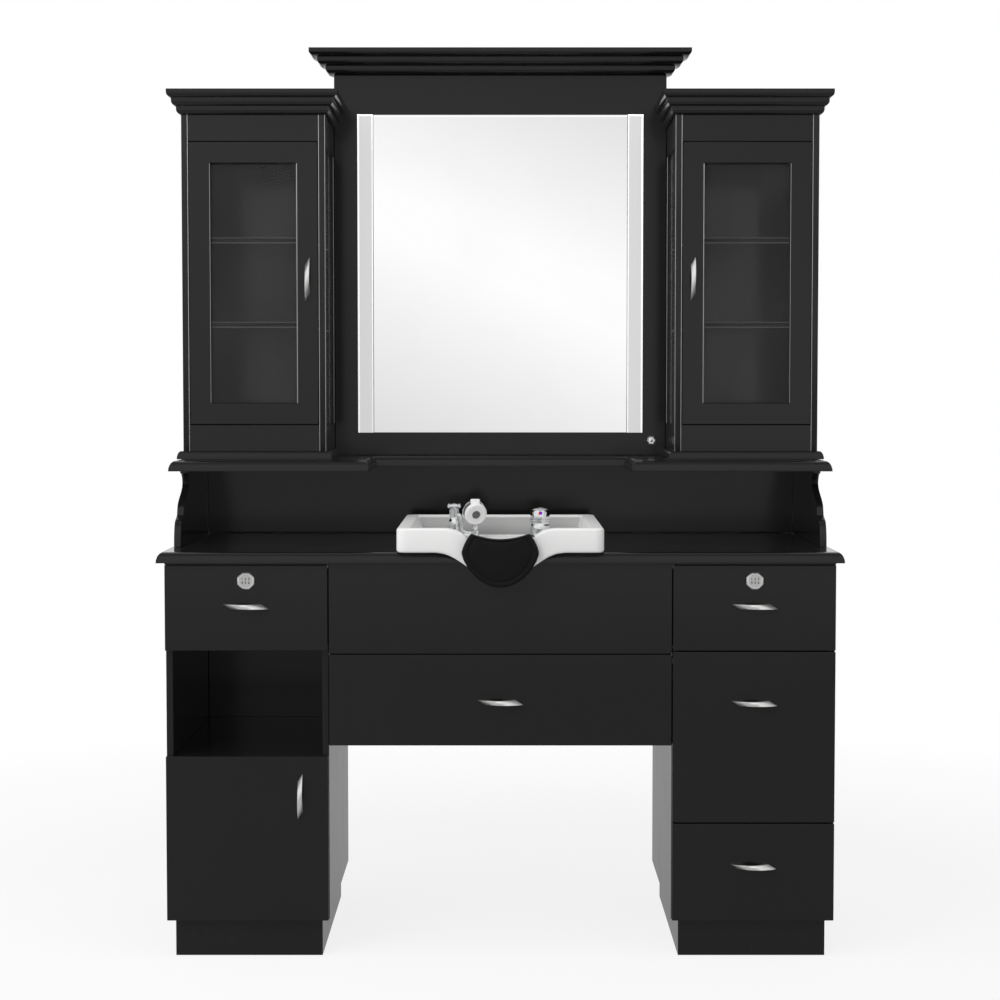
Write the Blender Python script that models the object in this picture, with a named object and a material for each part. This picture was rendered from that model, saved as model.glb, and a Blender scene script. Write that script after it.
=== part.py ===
"""Shampoo station: a lacquered vanity with two pedestals, a wash bowl and a mirror hutch.

Metres, +Z up, the user stands at -Y. The origin is on the floor, at the middle of the station.
"""
import math

import bmesh
import bpy

# Fits
SEAT = 0.0003             # gap where one piece rests on or against another
REVEAL = 0.0025           # gap between neighbouring drawer fronts
DOOR_PLAY = 0.0015        # gap round a door that sits inside its frame
HINGE_PLAY = 0.0005       # gap at that door's hinged edge
BOX_PLAY = 0.004          # gap at each side of a drawer box
LAP = 0.001               # how far two glued shapes overlap before they are joined
SOFT_EDGE = 0.0015        # rounding of the lacquered board edges

# Boards
BOARD = 0.016
FRONT_THICKNESS = 0.016
BACK_THICKNESS = 0.008

# Countertop
COUNTER_WIDTH = 1.600
COUNTER_DEPTH = 0.688     # front tip to wall
COUNTER_HEIGHT = 0.956    # top face
COUNTER_THICKNESS = 0.025
COUNTER_OVERHANG = 0.0175
EDGE_RUN = 0.016          # how far the rounded edge runs back from its tip
EDGE_STEPS = 5

# Pedestals
PEDESTAL_WIDTH = 0.381
PEDESTAL_SETBACK = 0.025  # rear of the pedestals to the wall
PLINTH_HEIGHT = 0.088
PLINTH_SIDE_INSET = 0.0175
PLINTH_FRONT_INSET = 0.0075
PLINTH_REAR_INSET = 0.031
TOP_REVEAL = 0.0055       # gap between the counter and the drawers under it
DOOR_HEIGHT = 0.3883
CUBBY_STEP = 0.003        # top of the door above the cubby's floor
APRON_HEIGHT = 0.2075
CLEAT_WIDTH = 0.022
CLEAT_DEPTH = 0.030

# Drawers
UPPER_DRAWER_HEIGHT = 0.2005
BOTTOM_DRAWER_HEIGHT = 0.2298  # the middle drawer takes the height between the other two
CENTRE_DRAWER_HEIGHT = 0.2133
BOX_WALL = 0.012
BOX_FLOOR = 0.008
BOX_REAR_ROOM = 0.121     # behind a drawer box, in front of the pedestal's back
BOX_HEADROOM = 0.065      # top of a box below the top of its front
CENTRE_BOX_DEPTH = 0.340
BEARER_WIDTH = 0.020
BEARER_HEIGHT = 0.013

# Bow handles
HANDLE_LENGTH = 0.107
HANDLE_HEIGHT = 0.0125
HANDLE_SHEAR = 0.009      # how far the tips lean past the middle line
HANDLE_REACH = 0.024
HANDLE_THICKNESS = 0.0045
HANDLE_RIDGE = 0.0012
HANDLE_FOOT = 0.008
HANDLE_STEPS = 7
HANDLE_BOW = 2.4          # exponent of the bow: higher is flatter in the middle
UPPER_HANDLE_DROP = 0.0965
MIDDLE_HANDLE_DROP = 0.1205
BOTTOM_HANDLE_DROP = 0.1003
CENTRE_HANDLE_DROP = 0.1110
DOOR_HANDLE_DROP = 0.0933
DOOR_HANDLE_INSET = 0.0665
CABINET_HANDLE_RISE = 0.3580
CABINET_HANDLE_INSET = 0.026

# Drawer locks
LOCK_DROP = 0.042         # lock axis below the counter
LOCK_SIDES = 8
LOCK_FLATS = 0.039
LOCK_THICKNESS = 0.006
LOCK_CHAMFER = 0.0025
LOCK_BARREL_RADIUS = 0.008
LOCK_BITE = 0.005         # how far the turned cam reaches up into the counter
LOCK_CAM_WIDTH = 0.014
LOCK_CAM_THICKNESS = 0.004
LOCK_PLAY = 0.0005
SLOT_PLAY = 0.001         # round the cam, in the slot under the counter

# Scrolled brackets, from the foot up
BRACKET_HEIGHT = 0.180
BRACKET_DEPTH = 0.517
BRACKET_TOE = (0.028, 0.064)
BRACKET_STEP = (0.024, 0.009)
BRACKET_FACET = (0.007, 0.0165)
BRACKET_SWEEP = (0.087, 0.057)
BRACKET_HEAD_REACH = 0.036
BRACKET_LIP = 0.007
BRACKET_STEPS = 4
SWEEP_STEPS = 6

# Shelf
SHELF_THICKNESS = 0.025
SHELF_OVERHANG = 0.019
SHELF_DEPTH = 0.478
SHELF_CENTRE_DEPTH = 0.143
SHELF_CENTRE_HALF = 0.317

# Upper cabinets
CABINET_INNER = 0.4302
CABINET_DEPTH = 0.347
CABINET_DOOR_THICKNESS = 0.018
BASE_HEIGHT = 0.020
BASE_OVERHANG = 0.015
BASE_RUN = 0.010
RAIL_HEIGHT = 0.0637
CABINET_OPENING = 0.697
FASCIA_HEIGHT = 0.0638
STILE = 0.053
GLASS_THICKNESS = 0.004
GLASS_SET_IN = 0.008
WINDOW_FRONT = 0.027      # front of the case to the side window
WINDOW_REAR = 0.028       # side window to the mirror panel
WINDOW_MARGIN = 0.012     # below the fascia's line
LOWER_SHELF_RISE = 0.255
UPPER_SHELF_RISE = 0.463
SHELF_BOARD = 0.014
SHELF_SETBACK = 0.012     # front of a shelf behind the door
CROWN_REACH = 0.032
CROWN_HEIGHT = 0.059
CROWN_TIERS = 3
CROWN_STEPS = 4
CROWN_OVOLO = 0.6         # share of a tier that is round

# Mirror
PANEL_DEPTH = 0.046
PANEL_RISE = 0.0792       # top of the panel above the side crowns
MIRROR_SIDE_MARGIN = 0.0596
MIRROR_BOTTOM_MARGIN = 0.059
MIRROR_TOP_MARGIN = 0.1006
MIRROR_POCKET = 0.008
MIRROR_THICKNESS = 0.005
BAR_WIDTH = 0.040
BAR_THICKNESS = 0.007
CENTRE_CROWN_REACH = 0.060
CENTRE_CROWN_HEIGHT = 0.0617
KNOB_INSET = 0.0372       # from the cabinet beside it
KNOB_RISE = 0.039         # above the shelf
KNOB_SIDES = 6
KNOB_FLATS = 0.022
KNOB_DEPTH = 0.012
KNOB_CHAMFER = 0.002

# Bowl
BOWL_HALF = 0.241
BOWL_DEPTH = 0.552
BOWL_RIM = 0.057          # above the counter
BOWL_RIM_WIDTH = 0.042
BOWL_CORNER = 0.022
BOWL_INNER_CORNER = 0.0066
BOWL_ROUND = 0.006
DECK_HEIGHT = 0.006       # the tap deck inside the rim, above the counter
DECK_DEPTH = 0.1455       # between the basin and the rear rim
BASIN_HALF = 0.186
BASIN_FRONT = 0.048       # behind the counter's tip
BASIN_DROP = 0.155        # basin floor below the counter's top
BASIN_TAPER = 0.050
BASIN_CORNER = 0.055
BASIN_WALL = 0.010
CUTOUT_PLAY = 0.003
SKIRT_THICKNESS = 0.011
SKIRT_GAP = 0.0035        # behind the skirt, to the counter's tip
SKIRT_LEAN = 0.002
SKIRT_HALF = 0.165
SKIRT_DROP = 0.064
NOTCH_FLOOR = 0.018       # above the counter
NOTCH_HALF = 0.072
NOTCH_SHOULDER = 0.060
NOTCH_STEPS = 7
NOTCH_FLAT_STEPS = 4
FRONT_SHARE = 0.95        # most of a front edge that the notch and skirt may take up
CORNER_STEPS = 4
EDGE_POINTS = 3
DRAIN_RADIUS = 0.020
DRAIN_FLANGE = 0.032
DRAIN_WALL = 0.0025
DRAIN_DROP = 0.040

# Neck rest
NECK_DEPTH = 0.0272
NECK_HALF = 0.0895
NECK_DROP = 0.079         # middle of the shield down to its lowest point
NECK_MIDDLE = 0.0025      # middle of the shield, above the counter
NECK_PLAY = 0.0045        # beside the saddle, to the notch's shoulders
NECK_TOP = 0.046          # top corners, above the counter
NECK_SAG = 0.013
NECK_TAPER = 1.3          # exponent of the lower sides: 2 is an ellipse, lower draws them in
NECK_LIP = 0.028          # how far the saddle runs back, behind the counter's tip
NECK_SUNK = 0.008         # how far the saddle runs into the shield
NECK_CROWN = ((0.93, 0.0), (1.0, 0.18), (1.0, 0.45), (0.95, 0.75), (0.84, 0.92), (0.6, 1.0))
NECK_ARC_STEPS = 24
NECK_TOP_STEPS = 8

# Taps
TAP_SETBACK = 0.070       # behind the basin's rear edge
TAP_CONE = 0.005          # height of the cones between two radii
STAND_X = -0.116
STAND_FOOT_RADIUS = 0.019
STAND_RADIUS = 0.0125
STAND_NECK_RADIUS = 0.0094
STAND_CAP_RADIUS = 0.0145
STAND_FOOT_HEIGHT = 0.004
STAND_SHOULDER = 0.040
STAND_HEIGHT = 0.080
STAND_CAP_HEIGHT = 0.0075
ARM_WIDTH = 0.0125
ARM_HEIGHT = 0.011
CUP_RADIUS = 0.011
CUP_HEIGHT = 0.018
CUP_FLOOR = 0.0055
CUP_PLAY = 0.0005
SPRAY_X = -0.063
SPRAY_HEIGHT = 0.058      # middle of the disc above the deck
SPRAY_RADIUS = 0.027
SPRAY_FACE_RADIUS = 0.0248
SPRAY_REAR_RADIUS = 0.0216
SPRAY_DEPTH = 0.020
SPRAY_FACE_ROUND = 0.003
SPRAY_REAR_ROUND = 0.006
SPRAY_STEM_RADIUS = 0.007
SPRAY_TAB_WIDTH = 0.023
SPRAY_TAB_HEIGHT = 0.012
SPRAY_TAB_DEPTH = 0.012
MIXER_X = 0.100
MIXER_FOOT_RADIUS = 0.0259
MIXER_RADIUS = 0.0225
MIXER_NECK_RADIUS = 0.0194
MIXER_FOOT_HEIGHT = 0.004
MIXER_SHOULDER = 0.030
MIXER_BODY_HEIGHT = 0.040
MIXER_HANDLE_HEIGHT = 0.034
MIXER_HANDLE_CHAMFER = 0.0014
MIXER_DOME_HEIGHT = 0.010
MIXER_CROWN_RADIUS = 0.007
DOME_STEPS = 5
ROUND_STEPS = 20

# Planes worked out from the sizes above
bowl_reach = SKIRT_THICKNESS + SKIRT_GAP
neck_reach = bowl_reach + SEAT + NECK_DEPTH
total_depth = COUNTER_DEPTH + neck_reach
front_tip = neck_reach - total_depth / 2
wall = total_depth / 2
front_face = front_tip + COUNTER_OVERHANG
front_rear = front_face + FRONT_THICKNESS
carcass_front = front_rear + SEAT
pedestal_rear = wall - PEDESTAL_SETBACK
pedestal_back_face = pedestal_rear - BACK_THICKNESS
box_depth = pedestal_back_face - BOX_REAR_ROOM - carcass_front
pedestal_outer = COUNTER_WIDTH / 2 - COUNTER_OVERHANG
pedestal_inner = pedestal_outer - PEDESTAL_WIDTH
fronts_inner = pedestal_inner + REVEAL / 2
drawer_middle = (fronts_inner + pedestal_outer) / 2
counter_bottom = COUNTER_HEIGHT - COUNTER_THICKNESS
carcass_top = counter_bottom - SEAT
fronts_top = counter_bottom - TOP_REVEAL
floor_top = PLINTH_HEIGHT + BOARD
box_lift = BOARD + SEAT
upper_drawer_bottom = fronts_top - UPPER_DRAWER_HEIGHT
middle_drawer_bottom = PLINTH_HEIGHT + BOTTOM_DRAWER_HEIGHT + REVEAL
apron_bottom = fronts_top - APRON_HEIGHT
centre_drawer_bottom = apron_bottom - REVEAL - CENTRE_DRAWER_HEIGHT
door_top = PLINTH_HEIGHT + DOOR_HEIGHT
lock_height = counter_bottom - LOCK_DROP
lock_cam_front = front_rear + LOCK_PLAY
lock_cam_length = LOCK_DROP + LOCK_BITE
lock_cam_sweep = math.hypot(lock_cam_length, LOCK_CAM_WIDTH / 2)
counter_seat = COUNTER_HEIGHT + SEAT
shelf_bottom = COUNTER_HEIGHT + BRACKET_HEIGHT
shelf_top = shelf_bottom + SHELF_THICKNESS
case_bottom = shelf_top + SEAT
case_body = case_bottom + BASE_HEIGHT
rail_top = case_body + RAIL_HEIGHT
fascia_bottom = rail_top + CABINET_OPENING
cabinet_top = fascia_bottom + FASCIA_HEIGHT
cabinet_front = wall - CABINET_DEPTH
cabinet_cavity_front = cabinet_front + CABINET_DOOR_THICKNESS
cabinet_cavity_rear = wall - BACK_THICKNESS
panel_face = wall - PANEL_DEPTH
crown_bottom = cabinet_top + SEAT
panel_top = crown_bottom + CROWN_HEIGHT + PANEL_RISE
window_near = cabinet_front + WINDOW_FRONT
window_far = panel_face - WINDOW_REAR
window_top = fascia_bottom - WINDOW_MARGIN
mirror_half = CABINET_INNER - MIRROR_SIDE_MARGIN
mirror_bottom = shelf_top + MIRROR_BOTTOM_MARGIN
mirror_top = panel_top - MIRROR_TOP_MARGIN
knob_x = CABINET_INNER - KNOB_INSET
knob_height = shelf_top + KNOB_RISE
bowl_front = front_tip - bowl_reach
bowl_rear = bowl_front + BOWL_DEPTH
rim_height = COUNTER_HEIGHT + BOWL_RIM
deck_height = COUNTER_HEIGHT + DECK_HEIGHT
notch_height = COUNTER_HEIGHT + NOTCH_FLOOR
basin_floor = COUNTER_HEIGHT - BASIN_DROP
basin_front = front_tip + BASIN_FRONT
basin_rear = bowl_rear - BOWL_RIM_WIDTH - DECK_DEPTH
basin_middle = (basin_front + basin_rear) / 2
neck_middle = COUNTER_HEIGHT + NECK_MIDDLE
neck_top = COUNTER_HEIGHT + NECK_TOP
neck_shoulder = NOTCH_HALF - NECK_PLAY
tap_line = basin_rear + TAP_SETBACK
tap_seat = deck_height + SEAT


def clear_scene():
    for thing in list(bpy.data.objects):
        bpy.data.objects.remove(thing, do_unlink=True)


def finish(name, colour, roughness, metallic=0.0):
    material = bpy.data.materials.new(name)
    material.use_nodes = True
    shader = material.node_tree.nodes["Principled BSDF"]
    shader.inputs["Base Color"].default_value = (*colour, 1.0)
    shader.inputs["Roughness"].default_value = roughness
    shader.inputs["Metallic"].default_value = metallic
    return material


def pivot(name, place):
    """An empty on a joint's axis, which carries the pieces that move about it."""
    empty = bpy.data.objects.new(name, None)
    empty.location = place
    bpy.context.scene.collection.objects.link(empty)
    return empty


def piece(name, shape, material, carrier=None, smooth=False):
    """Turn a bmesh in world coordinates into a named object, riding on its carrier."""
    bmesh.ops.recalc_face_normals(shape, faces=shape.faces)
    if carrier is not None:
        bmesh.ops.translate(shape, verts=shape.verts, vec=-carrier.location)
    mesh = bpy.data.meshes.new(name)
    shape.to_mesh(mesh)
    shape.free()
    mesh.materials.append(material)
    if smooth:
        mesh.shade_smooth()
        mesh.set_sharp_from_angle(angle=math.radians(35))
    thing = bpy.data.objects.new(name, mesh)
    thing.parent = carrier
    bpy.context.scene.collection.objects.link(thing)
    return thing


def combine(thing, shape, operation):
    """Cut a hidden shape out of a piece, or join it on."""
    bmesh.ops.recalc_face_normals(shape, faces=shape.faces)
    label = f"{thing.name}_{operation.lower()}_{len(thing.modifiers)}"
    mesh = bpy.data.meshes.new(label)
    shape.to_mesh(mesh)
    shape.free()
    tool = bpy.data.objects.new(label, mesh)
    tool.hide_render = True
    tool.display_type = "WIRE"
    bpy.context.scene.collection.objects.link(tool)
    boolean = thing.modifiers.new(label, "BOOLEAN")
    boolean.operation = operation
    boolean.solver = "EXACT"
    boolean.object = tool


def box(low, high, edge=0.0):
    shape = bmesh.new()
    bmesh.ops.create_cube(shape, size=1.0)
    for vertex in shape.verts:
        for axis in range(3):
            vertex.co[axis] = high[axis] if vertex.co[axis] > 0 else low[axis]
    if edge > 0:
        bmesh.ops.bevel(shape, geom=list(shape.edges), offset=edge, segments=2, profile=0.5,
                        affect="EDGES")
    return shape


def sided(side, inner, outer):
    """Lowest and highest X of a span given by its distances from the middle, on one side."""
    return (inner, outer) if side > 0 else (-outer, -inner)


def loft(rings, closed=False):
    """Skin rings of equally many points. An open run of rings is capped at both ends."""
    shape = bmesh.new()
    rows = [[shape.verts.new(point) for point in ring] for ring in rings]
    pairs = list(zip(rows, rows[1:]))
    if closed:
        pairs.append((rows[-1], rows[0]))
    else:
        shape.faces.new(rows[0])
        shape.faces.new(rows[-1])
    for first, second in pairs:
        count = len(first)
        for i in range(count):
            j = (i + 1) % count
            shape.faces.new((first[i], first[j], second[j], second[i]))
    return shape


def prism_x(outline, low, high):
    return loft([[(x, y, z) for y, z in outline] for x in (low, high)])


def prism_y(outline, low, high):
    return loft([[(x, y, z) for x, z in outline] for y in (low, high)])


def turned(profile, x, y, z, axis="Z", closed=False):
    """A solid of revolution from (radius, height) pairs, with flat ends or, if closed, a ring."""
    rings = []
    for radius, height in profile:
        ring = []
        for step in range(ROUND_STEPS):
            angle = 2 * math.pi * (step + 0.5) / ROUND_STEPS
            a, b = radius * math.cos(angle), radius * math.sin(angle)
            ring.append((x + a, y + b, z + height) if axis == "Z" else (x + a, y - height, z + b))
        rings.append(ring)
    return loft(rings, closed)


def regular_outline(x, z, flats, sides):
    """A polygon with a flat at the top, given by its size across the flats."""
    radius = flats / 2 / math.cos(math.pi / sides)
    angles = [2 * math.pi * (i + 0.5) / sides + math.pi / 2 for i in range(sides)]
    return [(x + radius * math.cos(a), z + radius * math.sin(a)) for a in angles]


def quarter_turn(steps):
    """Angles up to a right angle, in even steps."""
    return [math.pi / 2 * step / steps for step in range(1, steps + 1)]


def rounded_levels(bottom, top, run):
    """(inset, height) pairs of a board edge that is widest at the bottom and round at the top."""
    levels = []
    for turn in [0.0] + quarter_turn(EDGE_STEPS):
        levels.append((run * (1 - math.cos(turn)), bottom + (top - bottom) * math.sin(turn)))
    return levels


def crown_levels(bottom, height, reach):
    """(projection, height) pairs of a crown whose tiers are each a fillet over an ovolo."""
    levels = [(0.0, bottom)]
    tier = height / CROWN_TIERS
    step = reach / CROWN_TIERS
    for index in range(CROWN_TIERS):
        foot = bottom + tier * index
        for turn in quarter_turn(CROWN_STEPS):
            rise = tier * CROWN_OVOLO * (1 - math.cos(turn))
            levels.append((step * (index + math.sin(turn)), foot + rise))
        levels.append((step * (index + 1), foot + tier))
    return levels


def make_side(name, inner, side, bearers, material):
    """A pedestal side: a board with the drawer bearers glued to its faces."""
    low, high = sided(side, inner, inner + BOARD)
    board = box((low, carcass_front, PLINTH_HEIGHT), (high, pedestal_rear, carcass_top), SOFT_EDGE)
    thing = piece(name, board, material)
    for start, end, top, rear in bearers:
        low, high = sided(side, start, end)
        strip = box((low, carcass_front + SOFT_EDGE, top - BEARER_HEIGHT), (high, rear, top))
        combine(thing, strip, "UNION")


def make_carcass(name, side, shelves, material):
    """A pedestal's plinth, floor, back and fixed shelves, glued into one piece."""
    back = pedestal_back_face
    outline = [(pedestal_rear, PLINTH_HEIGHT), (carcass_front, PLINTH_HEIGHT),
               (carcass_front, floor_top), (back, floor_top)]
    for bottom in shelves:
        outline += [(back, bottom), (carcass_front, bottom),
                    (carcass_front, bottom + BOARD), (back, bottom + BOARD)]
    outline += [(back, carcass_top), (pedestal_rear, carcass_top)]
    low, high = sided(side, pedestal_inner + BOARD + SEAT, pedestal_outer - BOARD - SEAT)
    thing = piece(name, prism_x(outline, low, high), material)
    low, high = sided(side, pedestal_inner + PLINTH_SIDE_INSET, pedestal_outer - PLINTH_SIDE_INSET)
    front, rear = carcass_front + PLINTH_FRONT_INSET, pedestal_rear - PLINTH_REAR_INSET
    plinth_top = PLINTH_HEIGHT + LAP
    rings = []
    for inset, height in ((0, 0), (0, plinth_top), (BOARD, plinth_top), (BOARD, 0)):
        rings.append([(low + inset, front + inset, height), (high - inset, front + inset, height),
                      (high - inset, rear - inset, height), (low + inset, rear - inset, height)])
    combine(thing, loft(rings, closed=True), "UNION")


def make_pedestals(lacquer):
    inner_face, outer_face = pedestal_inner + BOARD, pedestal_outer - BOARD
    centre_bearer = (pedestal_inner - BEARER_WIDTH, pedestal_inner + LAP,
                     centre_drawer_bottom + BOARD, carcass_front + CENTRE_BOX_DEPTH)
    inner_bearers, outer_bearers = [], []
    for bottom in (upper_drawer_bottom, middle_drawer_bottom):
        top, rear = bottom + BOARD, carcass_front + box_depth
        inner_bearers.append((inner_face - LAP, inner_face + BEARER_WIDTH, top, rear))
        outer_bearers.append((outer_face - BEARER_WIDTH, outer_face + LAP, top, rear))
    make_side("left_outer_side", outer_face, -1, [], lacquer)
    make_side("left_inner_side", pedestal_inner, -1, [centre_bearer], lacquer)
    make_side("right_inner_side", pedestal_inner, 1, [centre_bearer] + inner_bearers, lacquer)
    make_side("right_outer_side", outer_face, 1, outer_bearers, lacquer)
    make_carcass("left_carcass", -1, [door_top - CUBBY_STEP - BOARD, upper_drawer_bottom], lacquer)
    make_carcass("right_carcass", 1, [], lacquer)


def make_apron(lacquer):
    """The fixed panel under the bowl, with a cleat at each end against the pedestals."""
    half = pedestal_inner - REVEAL / 2
    panel = box((-half, front_face, apron_bottom), (half, front_rear, carcass_top), SOFT_EDGE)
    thing = piece("apron_panel", panel, lacquer)
    for side in (-1, 1):
        low, high = sided(side, pedestal_inner - CLEAT_WIDTH, pedestal_inner - SEAT)
        cleat = box((low, front_rear - LAP, apron_bottom + BOARD),
                    (high, front_rear + CLEAT_DEPTH, carcass_top - BOARD))
        combine(thing, cleat, "UNION")


def make_countertop(lacquer):
    half = COUNTER_WIDTH / 2
    rings = []
    for inset, height in rounded_levels(counter_bottom, COUNTER_HEIGHT, EDGE_RUN):
        x, near = half - inset, front_tip + inset
        rings.append([(-x, near, height), (x, near, height), (x, wall, height), (-x, wall, height)])
    thing = piece("countertop", loft(rings), lacquer, smooth=True)
    room = BASIN_WALL + CUTOUT_PLAY
    reach = BASIN_HALF + room
    combine(thing, box((-reach, basin_front - room, counter_bottom - LAP),
                       (reach, basin_rear + room, COUNTER_HEIGHT + LAP)), "DIFFERENCE")
    slot_rear = lock_cam_front + LOCK_CAM_THICKNESS + SLOT_PLAY
    for side in (-1, 1):
        middle = side * drawer_middle
        slot = box((middle - lock_cam_length, lock_cam_front - SLOT_PLAY, counter_bottom - LAP),
                   (middle + lock_cam_length, slot_rear, lock_height + lock_cam_sweep + SLOT_PLAY))
        combine(thing, slot, "DIFFERENCE")


def make_handle(name, carrier, place, upright, material):
    """A sheared bow pull. Its ends seat on the face behind it, its middle stands clear."""
    half = HANDLE_LENGTH / 2 - HANDLE_SHEAR
    inner = half - HANDLE_FOOT
    shares = [step / HANDLE_STEPS for step in range(-HANDLE_STEPS, HANDLE_STEPS + 1)]
    tip = HANDLE_THICKNESS / 2
    rings = []
    for level, ridge in ((-1, 0.0), (0, HANDLE_RIDGE), (1, 0.0)):
        ring = []
        for share in shares:
            bow = (HANDLE_REACH + ridge - tip) * (1 - abs(share) ** HANDLE_BOW)
            ring.append((share * half, -SEAT - tip - bow))
        ring.append((half, -SEAT))
        for share in reversed(shares):
            bow = (HANDLE_REACH - HANDLE_THICKNESS) * (1 - abs(share) ** HANDLE_BOW)
            ring.append((share * inner, -SEAT - bow))
        ring.append((-half, -SEAT))
        rings.append([(x - level * HANDLE_SHEAR, y, level * HANDLE_HEIGHT / 2) for x, y in ring])
    shape = loft(rings)
    for vertex in shape.verts:
        x, y, z = vertex.co
        across, along = (z, -x) if upright else (x, z)
        vertex.co = (place[0] + across, place[1] + y, place[2] + along)
    piece(name, shape, material, carrier, smooth=True)


def make_drawer(name, span, heights, depth, box_half, handle_drop, finishes, lock=False):
    """A drawer: front, open box and handle, on a slide through the middle of its front."""
    lacquer, wood, steel = finishes
    (left, right), (bottom, top) = span, heights
    middle = (left + right) / 2
    carrier = pivot(f"{name}_slide", (middle, front_face, (bottom + top) / 2))
    panel = piece(f"{name}_front", box((left, front_face, bottom), (right, front_rear, top), SOFT_EDGE),
                  lacquer, carrier)
    low, high = bottom + box_lift, top - BOX_HEADROOM
    rings = []
    for inset, height in ((0, low), (0, high), (BOX_WALL, high), (BOX_WALL, low + BOX_FLOOR)):
        x0, x1 = middle - box_half + inset, middle + box_half - inset
        near, far = carcass_front + inset, carcass_front + depth - inset
        rings.append([(x0, near, height), (x1, near, height), (x1, far, height), (x0, far, height)])
    piece(f"{name}_box", loft(rings), wood, carrier)
    make_handle(f"{name}_handle", carrier, (middle, front_face, top - handle_drop), False, steel)
    if lock:
        make_lock(name.replace("_drawer", "_lock"), panel, middle, steel)


def make_lock(name, panel, middle, steel):
    """An octagonal lock dial, its barrel through the drawer front and the cam behind it."""
    carrier = pivot(f"{name}_axis", (middle, front_face, lock_height))
    rear = front_face - SEAT
    face = rear - LOCK_THICKNESS
    rings = []
    for shrink, y in ((LOCK_CHAMFER, face), (0.0, face + LOCK_CHAMFER), (0.0, rear)):
        outline = regular_outline(middle, lock_height, LOCK_FLATS - 2 * shrink, LOCK_SIDES)
        rings.append([(x, y, z) for x, z in outline])
    dial = piece(name, loft(rings), steel, carrier)
    barrel_rear = lock_cam_front + LAP
    barrel = [(LOCK_BARREL_RADIUS, 0), (LOCK_BARREL_RADIUS, barrel_rear - rear + LAP)]
    combine(dial, turned(barrel, middle, barrel_rear, lock_height, "Y"), "UNION")
    across = LOCK_CAM_WIDTH / 2
    cam = box((middle - across, lock_cam_front, lock_height - across),
              (middle + lock_cam_length, lock_cam_front + LOCK_CAM_THICKNESS, lock_height + across))
    combine(dial, cam, "UNION")
    hole = LOCK_BARREL_RADIUS + LOCK_PLAY
    bore = turned([(hole, -LAP), (hole, FRONT_THICKNESS + LAP)], middle, front_rear, lock_height, "Y")
    combine(panel, bore, "DIFFERENCE")


def make_drawers(finishes):
    left, right = sided(-1, fronts_inner, pedestal_outer), sided(1, fronts_inner, pedestal_outer)
    box_half = PEDESTAL_WIDTH / 2 - BOARD - BOX_PLAY
    upper = (upper_drawer_bottom, fronts_top)
    middle = (middle_drawer_bottom, upper_drawer_bottom - REVEAL)
    lower = (PLINTH_HEIGHT, middle_drawer_bottom - REVEAL)
    for name, span, heights, handle_drop, lock in (
            ("left_drawer", left, upper, UPPER_HANDLE_DROP, True),
            ("right_top_drawer", right, upper, UPPER_HANDLE_DROP, True),
            ("right_middle_drawer", right, middle, MIDDLE_HANDLE_DROP, False),
            ("right_bottom_drawer", right, lower, BOTTOM_HANDLE_DROP, False)):
        make_drawer(name, span, heights, box_depth, box_half, handle_drop, finishes, lock)
    half = pedestal_inner - REVEAL / 2
    centre = (centre_drawer_bottom, apron_bottom - REVEAL)
    make_drawer("centre_drawer", (-half, half), centre, CENTRE_BOX_DEPTH, pedestal_inner - BOX_PLAY,
                CENTRE_HANDLE_DROP, finishes)


def make_lower_door(lacquer, steel):
    """The overlay door of the left pedestal, hinged at its outer rear edge."""
    carrier = pivot("lower_door_hinge", (-pedestal_outer, front_rear, PLINTH_HEIGHT))
    corner = (-fronts_inner, front_rear, door_top)
    panel = box((-pedestal_outer, front_face, PLINTH_HEIGHT), corner, SOFT_EDGE)
    piece("lower_door_panel", panel, lacquer, carrier)
    place = (-pedestal_inner - DOOR_HANDLE_INSET, front_face, door_top - DOOR_HANDLE_DROP)
    make_handle("lower_door_handle", carrier, place, True, steel)


def bracket_outline():
    """Side view of a scrolled bracket: (depth, height) from the counter up to the shelf."""
    top = shelf_bottom - SEAT
    turns = quarter_turn(BRACKET_STEPS)
    y, z = wall - BRACKET_DEPTH, counter_seat
    outline = [(wall, z), (y, z)]
    run, rise = BRACKET_TOE
    outline += [(y + run * (1 - math.cos(turn)), z + rise * math.sin(turn)) for turn in turns]
    y, z = y + run, z + rise
    for run, rise in (BRACKET_STEP, BRACKET_FACET):
        y, z = y + run, z + rise
        outline.append((y, z))
    run, rise = BRACKET_SWEEP
    for step in range(1, SWEEP_STEPS + 1):
        share = step / SWEEP_STEPS
        outline.append((y + run * (1 - math.cos(math.pi * share)) / 2, z + rise * share))
    y, z = y + run, z + rise
    rise = top - BRACKET_LIP - z
    for turn in turns:
        outline.append((y - BRACKET_HEAD_REACH * (1 - math.cos(turn)), z + rise * math.sin(turn)))
    return outline + [(y - BRACKET_HEAD_REACH, top), (wall, top)]


def make_hutch(lacquer):
    for side, name in ((-1, "left_bracket"), (1, "right_bracket")):
        low, high = sided(side, pedestal_outer - BOARD, pedestal_outer)
        piece(name, prism_x(bracket_outline(), low, high), lacquer)
    half = pedestal_outer - BOARD - SEAT
    piece("backsplash", box((-half, wall - BOARD, counter_seat), (half, wall, shelf_bottom - SEAT)), lacquer)
    half = pedestal_outer + SHELF_OVERHANG
    rings = []
    for inset, height in rounded_levels(shelf_bottom, shelf_top, EDGE_RUN):
        x, inner = half - inset, SHELF_CENTRE_HALF + inset
        near, centre = wall - SHELF_DEPTH + inset, wall - SHELF_CENTRE_DEPTH + inset
        rings.append([(-x, near, height), (-inner, near, height), (-inner, centre, height),
                      (inner, centre, height), (inner, near, height), (x, near, height),
                      (x, wall, height), (-x, wall, height)])
    piece("shelf_board", loft(rings), lacquer, smooth=True)


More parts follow.
